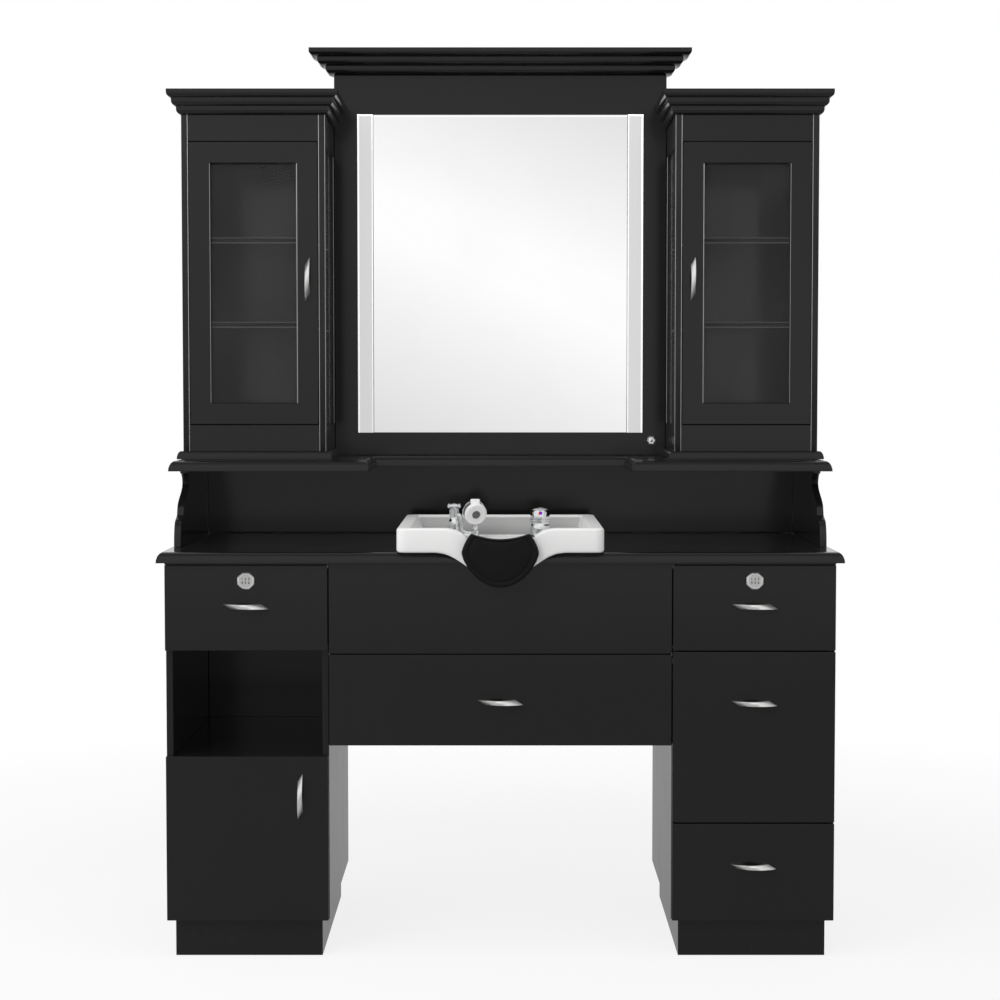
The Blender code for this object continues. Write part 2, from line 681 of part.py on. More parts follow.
def cabinet_ring(side, out, height):
    """Plan of a cabinet moulding that stands out past the case, up to the mirror panel."""
    inner, outer = CABINET_INNER, pedestal_outer
    stop = panel_face - SEAT
    plan = [(inner - out, cabinet_front - out), (outer + out, cabinet_front - out), (outer + out, wall),
            (inner + SEAT, wall), (inner + SEAT, stop), (inner - out, stop)]
    return [(side * x, y, height) for x, y in plan]


def make_case(name, side, lacquer):
    """A glued cabinet case: sides, back, top, floor, fascia, bottom rail and base moulding."""
    inner, outer = CABINET_INNER + SEAT, pedestal_outer
    low, high = sided(side, inner, outer)
    body = box((low, cabinet_front, case_body - LAP), (high, wall, cabinet_top), SOFT_EDGE)
    thing = piece(name, body, lacquer)
    low, high = sided(side, inner + BOARD, outer - BOARD)
    cavity = box((low, cabinet_cavity_front, rail_top), (high, cabinet_cavity_rear, cabinet_top - BOARD))
    combine(thing, cavity, "DIFFERENCE")
    doorway = box((low, cabinet_front - LAP, rail_top), (high, cabinet_cavity_front + LAP, fascia_bottom))
    combine(thing, doorway, "DIFFERENCE")
    low, high = sided(side, inner - LAP, inner + BOARD + LAP)
    combine(thing, box((low, window_near, rail_top), (high, window_far, window_top)), "DIFFERENCE")
    levels = rounded_levels(case_bottom, case_bottom + BASE_HEIGHT, BASE_RUN)
    rings = [cabinet_ring(side, BASE_OVERHANG - inset, height) for inset, height in levels]
    combine(thing, loft(rings), "UNION")


def make_upper_door(name, side, lacquer, glass, steel):
    """A framed glass door set between the case's sides, hinged at its outer front corner."""
    inner, outer = CABINET_INNER + SEAT + BOARD + DOOR_PLAY, pedestal_outer - BOARD - HINGE_PLAY
    bottom, top = rail_top + DOOR_PLAY, fascia_bottom - DOOR_PLAY
    carrier = pivot(f"{name}_hinge", (side * outer, cabinet_front, bottom))
    low, high = sided(side, inner, outer)
    near, far = cabinet_front, cabinet_front + CABINET_DOOR_THICKNESS
    rings = []
    for inset, y in ((0, far), (0, near + SOFT_EDGE), (SOFT_EDGE, near), (STILE - SOFT_EDGE, near),
                     (STILE, near + SOFT_EDGE), (STILE, far)):
        rings.append([(low + inset, y, bottom + inset), (high - inset, y, bottom + inset),
                      (high - inset, y, top - inset), (low + inset, y, top - inset)])
    piece(f"{name}_frame", loft(rings, closed=True), lacquer, carrier)
    set_in = STILE + SEAT
    pane = box((low + set_in, near + GLASS_SET_IN, bottom + set_in),
               (high - set_in, near + GLASS_SET_IN + GLASS_THICKNESS, top - set_in))
    piece(f"{name}_glass", pane, glass, carrier)
    place = (side * (inner + CABINET_HANDLE_INSET), cabinet_front, bottom + CABINET_HANDLE_RISE)
    make_handle(f"{name}_handle", carrier, place, True, steel)


def make_cabinets(lacquer, glass, steel):
    for side, name in ((-1, "left"), (1, "right")):
        make_case(f"{name}_case", side, lacquer)
        make_upper_door(f"{name}_door", side, lacquer, glass, steel)
        inner, outer = CABINET_INNER + SEAT + BOARD, pedestal_outer - BOARD
        low, high = sided(side, inner + SEAT, outer - SEAT)
        for level, rise in (("lower", LOWER_SHELF_RISE), ("upper", UPPER_SHELF_RISE)):
            top = rail_top + rise
            board = box((low, cabinet_cavity_front + SHELF_SETBACK, top - SHELF_BOARD),
                        (high, cabinet_cavity_rear - SEAT, top), SOFT_EDGE)
            piece(f"{name}_{level}_shelf", board, lacquer)
        pane_inner = CABINET_INNER + SEAT + (BOARD - GLASS_THICKNESS) / 2
        low, high = sided(side, pane_inner, pane_inner + GLASS_THICKNESS)
        pane = box((low, window_near + SEAT, rail_top + SEAT), (high, window_far - SEAT, window_top - SEAT))
        piece(f"{name}_side_glass", pane, glass)
        levels = crown_levels(crown_bottom, CROWN_HEIGHT, CROWN_REACH)
        rings = [cabinet_ring(side, out, height) for out, height in levels]
        piece(f"{name}_crown", loft(rings), lacquer, smooth=True)


def make_mirror(lacquer, silver, opal, steel):
    half = CABINET_INNER
    panel = box((-half, panel_face, shelf_top + SEAT), (half, wall, panel_top), SOFT_EDGE)
    thing = piece("mirror_panel", panel, lacquer)
    combine(thing, box((-mirror_half, panel_face - LAP, mirror_bottom),
                       (mirror_half, panel_face + MIRROR_POCKET, mirror_top)), "DIFFERENCE")
    rear = panel_face + MIRROR_POCKET - SEAT
    low, high = mirror_bottom + SEAT, mirror_top - SEAT
    bar_inner = mirror_half - BAR_WIDTH
    half = bar_inner - SEAT
    piece("mirror", box((-half, rear - MIRROR_THICKNESS, low), (half, rear, high), SOFT_EDGE), silver)
    for side, name in ((-1, "left_light_bar"), (1, "right_light_bar")):
        left, right = sided(side, bar_inner, mirror_half - SEAT)
        piece(name, box((left, rear - BAR_THICKNESS, low), (right, rear, high), SOFT_EDGE), opal)
    rings = []
    for out, height in crown_levels(panel_top + SEAT, CENTRE_CROWN_HEIGHT, CENTRE_CROWN_REACH):
        x, near = CABINET_INNER + out, panel_face - out
        rings.append([(-x, near, height), (x, near, height), (x, wall, height), (-x, wall, height)])
    piece("centre_crown", loft(rings), lacquer, smooth=True)
    carrier = pivot("dimmer_axis", (knob_x, panel_face, knob_height))
    rings = []
    for shrink, depth in ((0.0, SEAT), (0.0, KNOB_DEPTH - KNOB_CHAMFER), (KNOB_CHAMFER, KNOB_DEPTH)):
        outline = regular_outline(knob_x, knob_height, KNOB_FLATS - 2 * shrink, KNOB_SIDES)
        rings.append([(x, panel_face - depth, z) for x, z in outline])
    piece("dimmer_knob", loft(rings), steel, carrier)


def front_stations(limit):
    """X of the points along a front edge: close together where the notch's shoulders turn."""
    right = [NOTCH_HALF * step / NOTCH_FLAT_STEPS for step in range(1, NOTCH_FLAT_STEPS + 1)]
    right += [NOTCH_HALF + NOTCH_SHOULDER * (1 - math.cos(turn)) for turn in quarter_turn(NOTCH_STEPS)]
    right.append(SKIRT_HALF)
    squeeze = min(1.0, FRONT_SHARE * limit / SKIRT_HALF)
    right = [x * squeeze for x in right] + [limit]
    return [-x for x in reversed(right)] + [0.0] + right


def bowl_ring(half, front, rear, radius, level, front_level=None):
    """A rounded rectangle. Its front edge is dense and may follow its own height curve."""
    x, near, far = half - radius, front + radius, rear - radius
    ring = [(station, front, front_level(station) if front_level else level) for station in front_stations(x)]
    shares = [step / EDGE_POINTS for step in range(EDGE_POINTS + 1)]
    edges = [[], [(half, near + (far - near) * share) for share in shares],
             [(x - 2 * x * share, rear) for share in shares],
             [(-half, far - (far - near) * share) for share in shares]]
    centres = [(x, near), (x, far), (-x, far), (-x, near)]
    for index, (centre_x, centre_y) in enumerate(centres):
        ring += [(edge_x, edge_y, level) for edge_x, edge_y in edges[index]]
        for step in range(1, CORNER_STEPS):
            angle = math.pi / 2 * (index - 1 + step / CORNER_STEPS)
            ring.append((centre_x + radius * math.cos(angle), centre_y + radius * math.sin(angle), level))
    return ring


def skirt_drop(x):
    """How far the bowl's front hangs below the counter's top, a bell curve under the neck rest."""
    if abs(x) >= SKIRT_HALF:
        return 0.0
    return SKIRT_DROP / 2 * (1 + math.cos(math.pi * x / SKIRT_HALF))


def notch_level(x):
    """Height of the front rim: a notch for the neck with round shoulders."""
    past = NOTCH_HALF + NOTCH_SHOULDER - abs(x)
    if past <= 0:
        return rim_height
    if past >= NOTCH_SHOULDER:
        return notch_height
    rise = math.sqrt(1 - (past / NOTCH_SHOULDER) ** 2)
    return notch_height + (rim_height - notch_height) * rise


def make_bowl(ceramic, chrome):
    def outer(inset, level, front_level=None):
        radius = max(BOWL_CORNER - inset, BOWL_INNER_CORNER)
        return bowl_ring(BOWL_HALF - inset, bowl_front + inset, bowl_rear - inset, radius, level, front_level)

    def basin(grow, taper, level):
        return bowl_ring(BASIN_HALF + grow - taper, basin_front - grow + taper,
                         basin_rear + grow - taper, BASIN_CORNER, level)

    wide, soft = BOWL_RIM_WIDTH, BOWL_ROUND
    bend = soft * (1 - math.cos(math.pi / 4))  # half way round a rounded edge
    rings = [
        basin(BASIN_WALL, BASIN_TAPER, basin_floor - BASIN_WALL),
        basin(BASIN_WALL, 0, counter_seat),
        outer(SKIRT_THICKNESS + SKIRT_LEAN, counter_seat),
        outer(SKIRT_THICKNESS, counter_seat, lambda x: counter_seat - skirt_drop(x)),
        outer(soft / 2, counter_seat, lambda x: counter_seat - skirt_drop(x)),
        outer(0, counter_seat + soft / 2, lambda x: counter_seat + soft / 2 - skirt_drop(x)),
        outer(0, rim_height - soft, lambda x: notch_level(x) - soft),
        outer(bend, rim_height - bend, lambda x: notch_level(x) - bend),
        outer(soft, rim_height, notch_level),
        outer(wide - soft, rim_height, notch_level),
        outer(wide - bend, rim_height - bend, lambda x: notch_level(x) - bend),
        outer(wide, rim_height - soft, lambda x: notch_level(x) - soft),
        outer(wide + bend, deck_height + soft, lambda x: deck_height + bend),
        outer(wide + soft, deck_height),
        basin(0, 0, deck_height),
        basin(0, soft, deck_height - 2 * soft),
        basin(0, BASIN_TAPER, basin_floor),
    ]
    thing = piece("bowl", loft(rings), ceramic, smooth=True)
    hole = DRAIN_RADIUS + SEAT
    waste = turned([(hole, -BASIN_WALL - LAP), (hole, LAP)], 0, basin_middle, basin_floor)
    combine(thing, waste, "DIFFERENCE")
    bore = DRAIN_RADIUS - DRAIN_WALL
    profile = [(bore, -DRAIN_DROP), (DRAIN_RADIUS, -DRAIN_DROP), (DRAIN_RADIUS, SEAT), (DRAIN_FLANGE, SEAT),
               (DRAIN_FLANGE - DRAIN_WALL, SEAT + DRAIN_WALL), (bore, SEAT + DRAIN_WALL)]
    tube = turned(profile, 0, basin_middle, basin_floor, closed=True)
    piece("drain", tube, chrome, smooth=True)


def neck_outline():
    """Front view of the neck rest: a shield, drawn in below, under a hollowed top edge."""
    start = math.asin((neck_top - neck_middle) / NECK_DROP)
    narrowing = neck_shoulder / (NECK_HALF * math.cos(start)) - 1
    outline = []
    for step in range(NECK_ARC_STEPS + 1):
        angle = start - (math.pi + 2 * start) * step / NECK_ARC_STEPS
        rise = math.sin(angle)
        if rise > 0:
            x = NECK_HALF * math.cos(angle) * (1 + narrowing * rise / math.sin(start))
        else:
            x = math.copysign(NECK_HALF * math.sqrt(1 - (-rise) ** NECK_TAPER), math.cos(angle))
        outline.append((x, neck_middle + NECK_DROP * rise))
    return outline + neck_hollow(neck_shoulder, neck_top)[1:-1]


def neck_hollow(half, top):
    """The hollowed top edge, from the left corner to the right one."""
    shares = [step / NECK_TOP_STEPS * 2 - 1 for step in range(NECK_TOP_STEPS + 1)]
    return [(half * share, top - NECK_SAG * (1 - share * share)) for share in shares]


def make_neck_rest(rubber):
    """A moulded pad: a crowned shield on the bowl's front, with a saddle over the notch."""
    rear = bowl_front - SEAT
    outline = neck_outline()
    rings = []
    for scale, share in NECK_CROWN:
        y = rear - NECK_DEPTH * share
        rings.append([(x * scale, y, neck_middle + (z - neck_middle) * scale) for x, z in outline])
    thing = piece("neck_rest", loft(rings), rubber, smooth=True)
    half = neck_shoulder - LAP
    saddle = neck_hollow(half, neck_top - LAP)
    saddle += [(half, notch_height + SEAT), (-half, notch_height + SEAT)]
    combine(thing, prism_y(saddle, rear - NECK_SUNK, front_tip + NECK_LIP), "UNION")


def make_spray(chrome, white):
    """The stand with its cup on the tap deck, and the spray head that lifts out of the cup."""
    cap_bottom = STAND_HEIGHT - STAND_CAP_HEIGHT
    profile = [(STAND_FOOT_RADIUS, 0), (STAND_FOOT_RADIUS, STAND_FOOT_HEIGHT),
               (STAND_RADIUS, STAND_FOOT_HEIGHT + TAP_CONE), (STAND_RADIUS, STAND_SHOULDER),
               (STAND_NECK_RADIUS, STAND_SHOULDER + TAP_CONE), (STAND_NECK_RADIUS, cap_bottom),
               (STAND_CAP_RADIUS, cap_bottom), (STAND_CAP_RADIUS, STAND_HEIGHT)]
    stand = piece("spray_stand", turned(profile, STAND_X, tap_line, tap_seat), chrome, smooth=True)
    arm = box((STAND_X, tap_line - ARM_WIDTH / 2, tap_seat + LAP),
              (SPRAY_X, tap_line + ARM_WIDTH / 2, tap_seat + ARM_HEIGHT))
    combine(stand, arm, "UNION")
    combine(stand, turned([(CUP_RADIUS, 0), (CUP_RADIUS, CUP_HEIGHT)], SPRAY_X, tap_line, tap_seat), "UNION")
    bore = SPRAY_STEM_RADIUS + CUP_PLAY
    well = turned([(bore, CUP_FLOOR), (bore, CUP_HEIGHT + LAP)], SPRAY_X, tap_line, tap_seat)
    combine(stand, well, "DIFFERENCE")
    middle = tap_seat + SPRAY_HEIGHT
    carrier = pivot("spray_head_lift", (SPRAY_X, tap_line, middle))
    half = SPRAY_DEPTH / 2
    disc = [(SPRAY_REAR_RADIUS, -half), (SPRAY_RADIUS, SPRAY_REAR_ROUND - half),
            (SPRAY_RADIUS, half - SPRAY_FACE_ROUND), (SPRAY_FACE_RADIUS, half)]
    head = piece("spray_head", turned(disc, SPRAY_X, tap_line, middle, "Y"), white, carrier, smooth=True)
    stem = [(SPRAY_STEM_RADIUS, CUP_FLOOR + SEAT - SPRAY_HEIGHT), (SPRAY_STEM_RADIUS, 0)]
    combine(head, turned(stem, SPRAY_X, tap_line, middle), "UNION")
    across, deep = SPRAY_TAB_WIDTH / 2, SPRAY_TAB_DEPTH / 2
    tab = box((SPRAY_X - across, tap_line - deep, middle),
              (SPRAY_X + across, tap_line + deep, middle + SPRAY_RADIUS + SPRAY_TAB_HEIGHT), SOFT_EDGE)
    combine(head, tab, "UNION")


def make_mixer(chrome):
    """The mixer on the tap deck: its body, and the domed handle that turns on it."""
    profile = [(MIXER_FOOT_RADIUS, 0), (MIXER_FOOT_RADIUS, MIXER_FOOT_HEIGHT),
               (MIXER_RADIUS, MIXER_FOOT_HEIGHT + TAP_CONE), (MIXER_RADIUS, MIXER_SHOULDER),
               (MIXER_NECK_RADIUS, MIXER_SHOULDER + TAP_CONE), (MIXER_NECK_RADIUS, MIXER_BODY_HEIGHT)]
    piece("mixer_body", turned(profile, MIXER_X, tap_line, tap_seat), chrome, smooth=True)
    bottom = tap_seat + MIXER_BODY_HEIGHT + SEAT
    carrier = pivot("mixer_handle_axis", (MIXER_X, tap_line, bottom))
    dome_bottom = MIXER_HANDLE_HEIGHT - MIXER_DOME_HEIGHT
    profile = [(MIXER_RADIUS - MIXER_HANDLE_CHAMFER, 0), (MIXER_RADIUS, MIXER_HANDLE_CHAMFER),
               (MIXER_RADIUS, dome_bottom)]
    for turn in quarter_turn(DOME_STEPS):
        radius = MIXER_CROWN_RADIUS + (MIXER_RADIUS - MIXER_CROWN_RADIUS) * math.cos(turn)
        profile.append((radius, dome_bottom + MIXER_DOME_HEIGHT * math.sin(turn)))
    piece("mixer_handle", turned(profile, MIXER_X, tap_line, bottom), chrome, carrier, smooth=True)


def main():
    clear_scene()
    lacquer = finish("black_lacquer", (0.018, 0.018, 0.019), 0.30)
    wood = finish("drawer_board", (0.030, 0.029, 0.028), 0.55)
    steel = finish("satin_nickel", (0.72, 0.72, 0.71), 0.28, 1.0)
    chrome = finish("chrome", (0.80, 0.80, 0.80), 0.08, 1.0)
    glass = finish("glass", (0.62, 0.65, 0.65), 0.04)
    silver = finish("mirror_silver", (0.90, 0.91, 0.91), 0.02, 1.0)
    opal = finish("opal_acrylic", (0.70, 0.70, 0.70), 0.40)
    ceramic = finish("glazed_ceramic", (0.83, 0.83, 0.82), 0.12)
    white = finish("white_plastic", (0.80, 0.80, 0.80), 0.30)
    rubber = finish("black_rubber", (0.012, 0.012, 0.012), 0.45)
    make_pedestals(lacquer)
    make_apron(lacquer)
    make_countertop(lacquer)
    make_drawers((lacquer, wood, steel))
    make_lower_door(lacquer, steel)
    make_hutch(lacquer)
    make_cabinets(lacquer, glass, steel)
    make_mirror(lacquer, silver, opal, steel)
    make_bowl(ceramic, chrome)
    make_neck_rest(rubber)
    make_spray(chrome, white)
    make_mixer(chrome)


main()
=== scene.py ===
import math

import bmesh
import bpy
from mathutils import Euler, Matrix, Vector


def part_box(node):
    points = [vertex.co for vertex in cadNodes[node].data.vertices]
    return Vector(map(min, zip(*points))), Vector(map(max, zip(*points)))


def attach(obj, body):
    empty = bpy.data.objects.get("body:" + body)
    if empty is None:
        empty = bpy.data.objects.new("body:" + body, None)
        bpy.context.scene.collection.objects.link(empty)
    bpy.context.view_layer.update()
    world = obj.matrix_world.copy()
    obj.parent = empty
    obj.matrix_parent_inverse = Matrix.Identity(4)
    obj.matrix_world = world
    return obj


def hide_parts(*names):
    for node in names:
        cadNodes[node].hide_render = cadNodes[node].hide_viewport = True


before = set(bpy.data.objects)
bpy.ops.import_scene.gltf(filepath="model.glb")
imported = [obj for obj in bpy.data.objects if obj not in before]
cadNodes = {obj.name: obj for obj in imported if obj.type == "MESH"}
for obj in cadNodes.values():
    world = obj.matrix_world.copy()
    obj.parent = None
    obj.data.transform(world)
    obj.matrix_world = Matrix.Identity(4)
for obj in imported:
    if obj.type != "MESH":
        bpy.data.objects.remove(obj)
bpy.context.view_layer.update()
scene = bpy.context.scene


# camera, solved from the photograph's parallel edges
cameraView = {"place": (0.0, -5.344, 1.344), "pitch": 3.03, "lens": 78.16, "sensor": 36.0, "shiftX": -0.0003}


def makeCamera():
    data = bpy.data.cameras.new("photoCamera")
    data.lens = cameraView["lens"]
    data.sensor_width = cameraView["sensor"]
    data.shift_x = cameraView["shiftX"]
    camera = bpy.data.objects.new("photoCamera", data)
    camera.location = cameraView["place"]
    camera.rotation_euler = (math.radians(90 - cameraView["pitch"]), 0.0, 0.0)
    scene.collection.objects.link(camera)
    scene.camera = camera


makeCamera()
scene.view_settings.view_transform = "Standard"
print("camera set")


class Wire:
    def __init__(self, graph, socket):
        self.graph = graph
        self.socket = socket

    def calc(self, operation, first, second=0.0):
        return self.graph.node("ShaderNodeMath", {"operation": operation}, {0: first, 1: second})

    def __add__(self, other):
        return self.calc("ADD", self, other)

    def __radd__(self, other):
        return self.calc("ADD", other, self)

    def __sub__(self, other):
        return self.calc("SUBTRACT", self, other)

    def __rsub__(self, other):
        return self.calc("SUBTRACT", other, self)

    def __mul__(self, other):
        return self.calc("MULTIPLY", self, other)

    def __rmul__(self, other):
        return self.calc("MULTIPLY", other, self)

    def __abs__(self):
        return self.calc("ABSOLUTE", self)

    def over(self, edge):
        return self.calc("GREATER_THAN", self, edge)

    def most(self, other):
        return self.calc("MAXIMUM", self, other)

    def least(self, other):
        return self.calc("MINIMUM", self, other)

    def swing(self, amount):  # noise about its middle
        return (self - 0.5) * amount


class Graph:
    def __init__(self, owner):
        owner.use_nodes = True
        self.tree = owner.node_tree
        self.tree.nodes.clear()

    def node(self, kind, settings=None, sockets=None, out=0):
        made = self.tree.nodes.new(kind)
        for key, value in (settings or {}).items():
            setattr(made, key, value)
        for key, value in (sockets or {}).items():
            if isinstance(value, Wire):
                self.tree.links.new(value.socket, made.inputs[key])
            else:
                made.inputs[key].default_value = value
        return Wire(self, made.outputs[out]) if made.outputs else None

    def point(self):  # metres, in the object's own space
        return self.node("ShaderNodeTexCoord", out="Object")

    def axis(self, vector, name):
        return self.node("ShaderNodeSeparateXYZ", sockets={0: vector}, out=name)

    def noise(self, scale, detail=2.0, stretch=None):
        vector = self.point()
        if stretch:
            vector = self.node("ShaderNodeMapping", sockets={"Vector": vector, "Scale": stretch})
        return self.node("ShaderNodeTexNoise", sockets={"Vector": vector, "Scale": scale, "Detail": detail})

    def blend(self, amount, first, second):
        return self.node("ShaderNodeMix", {"data_type": "RGBA"}, {0: amount, 6: first, 7: second}, 2)

    def spread(self, value, low, high, newLow=0.0, newHigh=1.0):
        return self.node("ShaderNodeMapRange", sockets={0: value, 1: low, 2: high, 3: newLow, 4: newHigh})

    def bump(self, height, depth):
        return self.node("ShaderNodeBump", sockets={"Height": height, "Distance": depth, "Strength": 1.0})

    def surface(self, sockets):
        shader = self.node("ShaderNodeBsdfPrincipled", sockets=sockets)
        self.node("ShaderNodeOutputMaterial", sockets={"Surface": shader})


def grey(level):
    return (level, level, level, 1.0)


def newFinish(name):
    material = bpy.data.materials.new(name)
    return material, Graph(material)


# sprayed satin lacquer on board: faint clouds, wipe marks, orange peel and scuffs near the floor
# a noise in these looks is its scale, its detail and, where it has one, its stretch
lacquerLook = {
    "deep": (0.0082, 0.0078, 0.0078, 1.0), "pale": (0.0096, 0.0092, 0.0092, 1.0), "gloss": 0.3,
    "cloudNoise": (6.0, 3.0), "roughness": 0.15, "wipeNoise": (5.0, 3.0), "wipeRough": 0.05,
    "peelNoise": (900.0, 1.0), "fineNoise": (220.0, 3.0), "fineShare": 0.4, "peelDepth": 0.000002,
    "scuff": (0.018, 0.0175, 0.017, 1.0), "scuffNoise": (60.0, 5.0, (1.0, 1.0, 0.3)), "scuffFrom": (0.6, 0.72),
    "scuffTop": 0.1, "scuffShare": 0.6, "scuffRough": 0.1,
}


def blackLacquer():
    look = lacquerLook
    material, graph = newFinish("blackLacquer")
    cloud, wipe, peel, fine = (graph.noise(*look[f"{name}Noise"]) for name in ("cloud", "wipe", "peel", "fine"))
    low = graph.spread(graph.axis(graph.point(), "Z"), look["scuffTop"], 0.0)
    scuff = graph.spread(graph.noise(*look["scuffNoise"]), *look["scuffFrom"]) * low
    tone = graph.blend(cloud, look["deep"], look["pale"])
    tone = graph.blend(scuff * look["scuffShare"], tone, look["scuff"])
    rough = look["roughness"] + wipe.swing(look["wipeRough"]) + scuff * look["scuffRough"]
    graph.surface({"Base Color": tone, "Roughness": rough, "Specular IOR Level": look["gloss"],
                   "Normal": graph.bump(peel + fine * look["fineShare"], look["peelDepth"])})
    return material


# melamine board of the drawer boxes, with a pressed grain along the box
boardLook = {
    "deep": (0.014, 0.0135, 0.013, 1.0), "pale": (0.03, 0.029, 0.028, 1.0), "roughness": 0.5, "gloss": 0.35,
    "grainNoise": (160.0, 4.0, (1.0, 0.04, 1.0)), "grainShare": 0.7, "grainRough": 0.15, "grainDepth": 0.00004,
    "cloudNoise": (9.0, 2.0), "cloudShare": 0.3,
}


def drawerBoard():
    look = boardLook
    material, graph = newFinish("drawerBoard")
    grain = graph.noise(*look["grainNoise"])
    cloud = graph.noise(*look["cloudNoise"])
    mottle = grain * look["grainShare"] + cloud * look["cloudShare"]
    graph.surface({"Base Color": graph.blend(mottle, look["deep"], look["pale"]),
                   "Roughness": look["roughness"] + grain.swing(look["grainRough"]),
                   "Specular IOR Level": look["gloss"], "Normal": graph.bump(grain, look["grainDepth"])})
    return material


# brushed nickel of the pulls and locks
nickelTones = {
    "bright": ((0.8, 0.795, 0.785, 1.0), (0.93, 0.925, 0.915, 1.0)),
    "dial": ((0.54, 0.54, 0.535, 1.0), (0.68, 0.68, 0.67, 1.0)),
}
nickelLook = {  # each nickel: tones, stretch of the brush marks
    "satinNickel": ("bright", (0.05, 1.0, 1.0)), "uprightNickel": ("bright", (1.0, 1.0, 0.05)),
    "dialNickel": ("dial", (0.05, 1.0, 1.0)), "roughness": 0.33,
    "brushNoise": (1500.0, 3.0), "brushShare": 0.6, "brushRough": 0.12, "brushDepth": 0.000004,
    "cloudNoise": (70.0, 2.0), "cloudShare": 0.4,
}


def satinNickel(name):
    look = nickelLook
    material, graph = newFinish(name)
    tones, stretch = look[name]
    brush = graph.noise(*look["brushNoise"], stretch)
    cloud = graph.noise(*look["cloudNoise"])
    mottle = brush * look["brushShare"] + cloud * look["cloudShare"]
    graph.surface({"Base Color": graph.blend(mottle, *nickelTones[tones]), "Metallic": 1.0,
                   "Roughness": look["roughness"] + brush.swing(look["brushRough"]),
                   "Normal": graph.bump(brush, look["brushDepth"])})
    return material


# polished chrome of the taps, with dried water marks
chromeLook = {
    "clean": (0.8, 0.81, 0.82, 1.0), "dull": (0.66, 0.67, 0.68, 1.0), "roughness": 0.05,
    "markNoise": (180.0, 4.0), "markFrom": (0.56, 0.7), "markShare": 0.6, "markRough": 0.08,
    "filmNoise": (45.0, 2.0), "filmRough": 0.04,
}


def chrome():
    look = chromeLook
    material, graph = newFinish("tapChrome")
    marks = graph.spread(graph.noise(*look["markNoise"]), *look["markFrom"])
    film = graph.noise(*look["filmNoise"])
    graph.surface({"Base Color": graph.blend(marks * look["markShare"], look["clean"], look["dull"]),
                   "Metallic": 1.0,
                   "Roughness": look["roughness"] + marks * look["markRough"] + film * look["filmRough"]})
    return material


# clear thin glass: mostly open, with more gloss at a slant and a faint film
glassLook = {
    "tint": (0.11, 0.11, 0.109, 1.0), "film": (0.14, 0.14, 0.139, 1.0), "roughness": 0.02, "ior": 1.46,
    "filmNoise": (9.0, 4.0, (1.0, 1.0, 0.4)), "filmFrom": (0.45, 0.8), "filmRough": 0.04, "filmCover": 0.03,
    "cover": 0.1, "slantCover": 0.6,
}


def clearGlass():
    look = glassLook
    material, graph = newFinish("clearGlass")
    film = graph.spread(graph.noise(*look["filmNoise"]), *look["filmFrom"])
    slant = graph.node("ShaderNodeFresnel", sockets={"IOR": look["ior"]})
    graph.surface({"Base Color": graph.blend(film, look["tint"], look["film"]), "IOR": look["ior"],
                   "Roughness": look["roughness"] + film * look["filmRough"],
                   "Alpha": look["cover"] + film * look["filmCover"] + slant * look["slantCover"]})
    return material


# silvered mirror glass
mirrorLook = {
    "silver": (0.985, 0.987, 0.987, 1.0), "haze": (0.965, 0.968, 0.968, 1.0), "roughness": 0.004,
    "hazeNoise": (7.0, 4.0), "hazeFrom": (0.5, 0.8), "hazeRough": 0.01,
}


def mirrorSilver():
    look = mirrorLook
    material, graph = newFinish("mirrorSilver")
    haze = graph.spread(graph.noise(*look["hazeNoise"]), *look["hazeFrom"])
    graph.surface({"Base Color": graph.blend(haze, look["silver"], look["haze"]), "Metallic": 1.0,
                   "Roughness": look["roughness"] + haze * look["hazeRough"]})
    return material


# opal diffuser of the light bars, softly lit, with fine ribs along it
opalLook = {
    "body": grey(0.13), "pale": grey(0.15), "roughness": 0.38, "glow": 0.565, "cloudNoise": (5.0, 2.0),
    "cloudShare": 0.6, "cloudRough": 0.1, "ribScale": 21.0, "ribShare": 0.4, "ribDepth": 0.00004,
}


def opalAcrylic():
    look = opalLook
    material, graph = newFinish("opalAcrylic")
    ribs = graph.node("ShaderNodeTexWave", {"bands_direction": "X"},
                      {"Vector": graph.point(), "Scale": look["ribScale"], "Distortion": 0.0}, "Fac")
    cloud = graph.noise(*look["cloudNoise"])
    mottle = cloud * look["cloudShare"] + ribs * look["ribShare"]
    graph.surface({"Base Color": graph.blend(mottle, look["body"], look["pale"]),
                   "Roughness": look["roughness"] + cloud.swing(look["cloudRough"]),
                   "Normal": graph.bump(ribs, look["ribDepth"]),
                   "Emission Color": grey(1.0), "Emission Strength": look["glow"]})
    return material


# glazed stoneware of the bowl: slow waves, faint specks, and painted shade on the steep forward-facing inner
# rear wall, darker towards its foot
glazeLook = {
    "body": (0.79, 0.79, 0.785, 1.0), "pale": (0.84, 0.84, 0.835, 1.0), "cloudNoise": (9.0, 3.0),
    "cloudRough": 0.06, "roughness": 0.3, "gloss": 0.08, "waveNoise": (22.0, 2.0), "waveDepth": 0.00012,
    "speck": (0.62, 0.61, 0.59, 1.0), "speckNoise": (900.0, 1.0), "speckFrom": (0.74, 0.8), "speckShare": 0.5,
    "thin": (0.43, 0.43, 0.427, 1.0), "paintedShadeFoot": (0.3, 0.3, 0.297, 1.0), "foot": (0.99, 0.966),
    "steep": (0.8, 0.3), "facing": (-0.5, -0.8), "innerRear": (0.186, 0.1815), "innerFront": (0.1, 0.15),
    "innerTop": (1.012, 1.006),
}


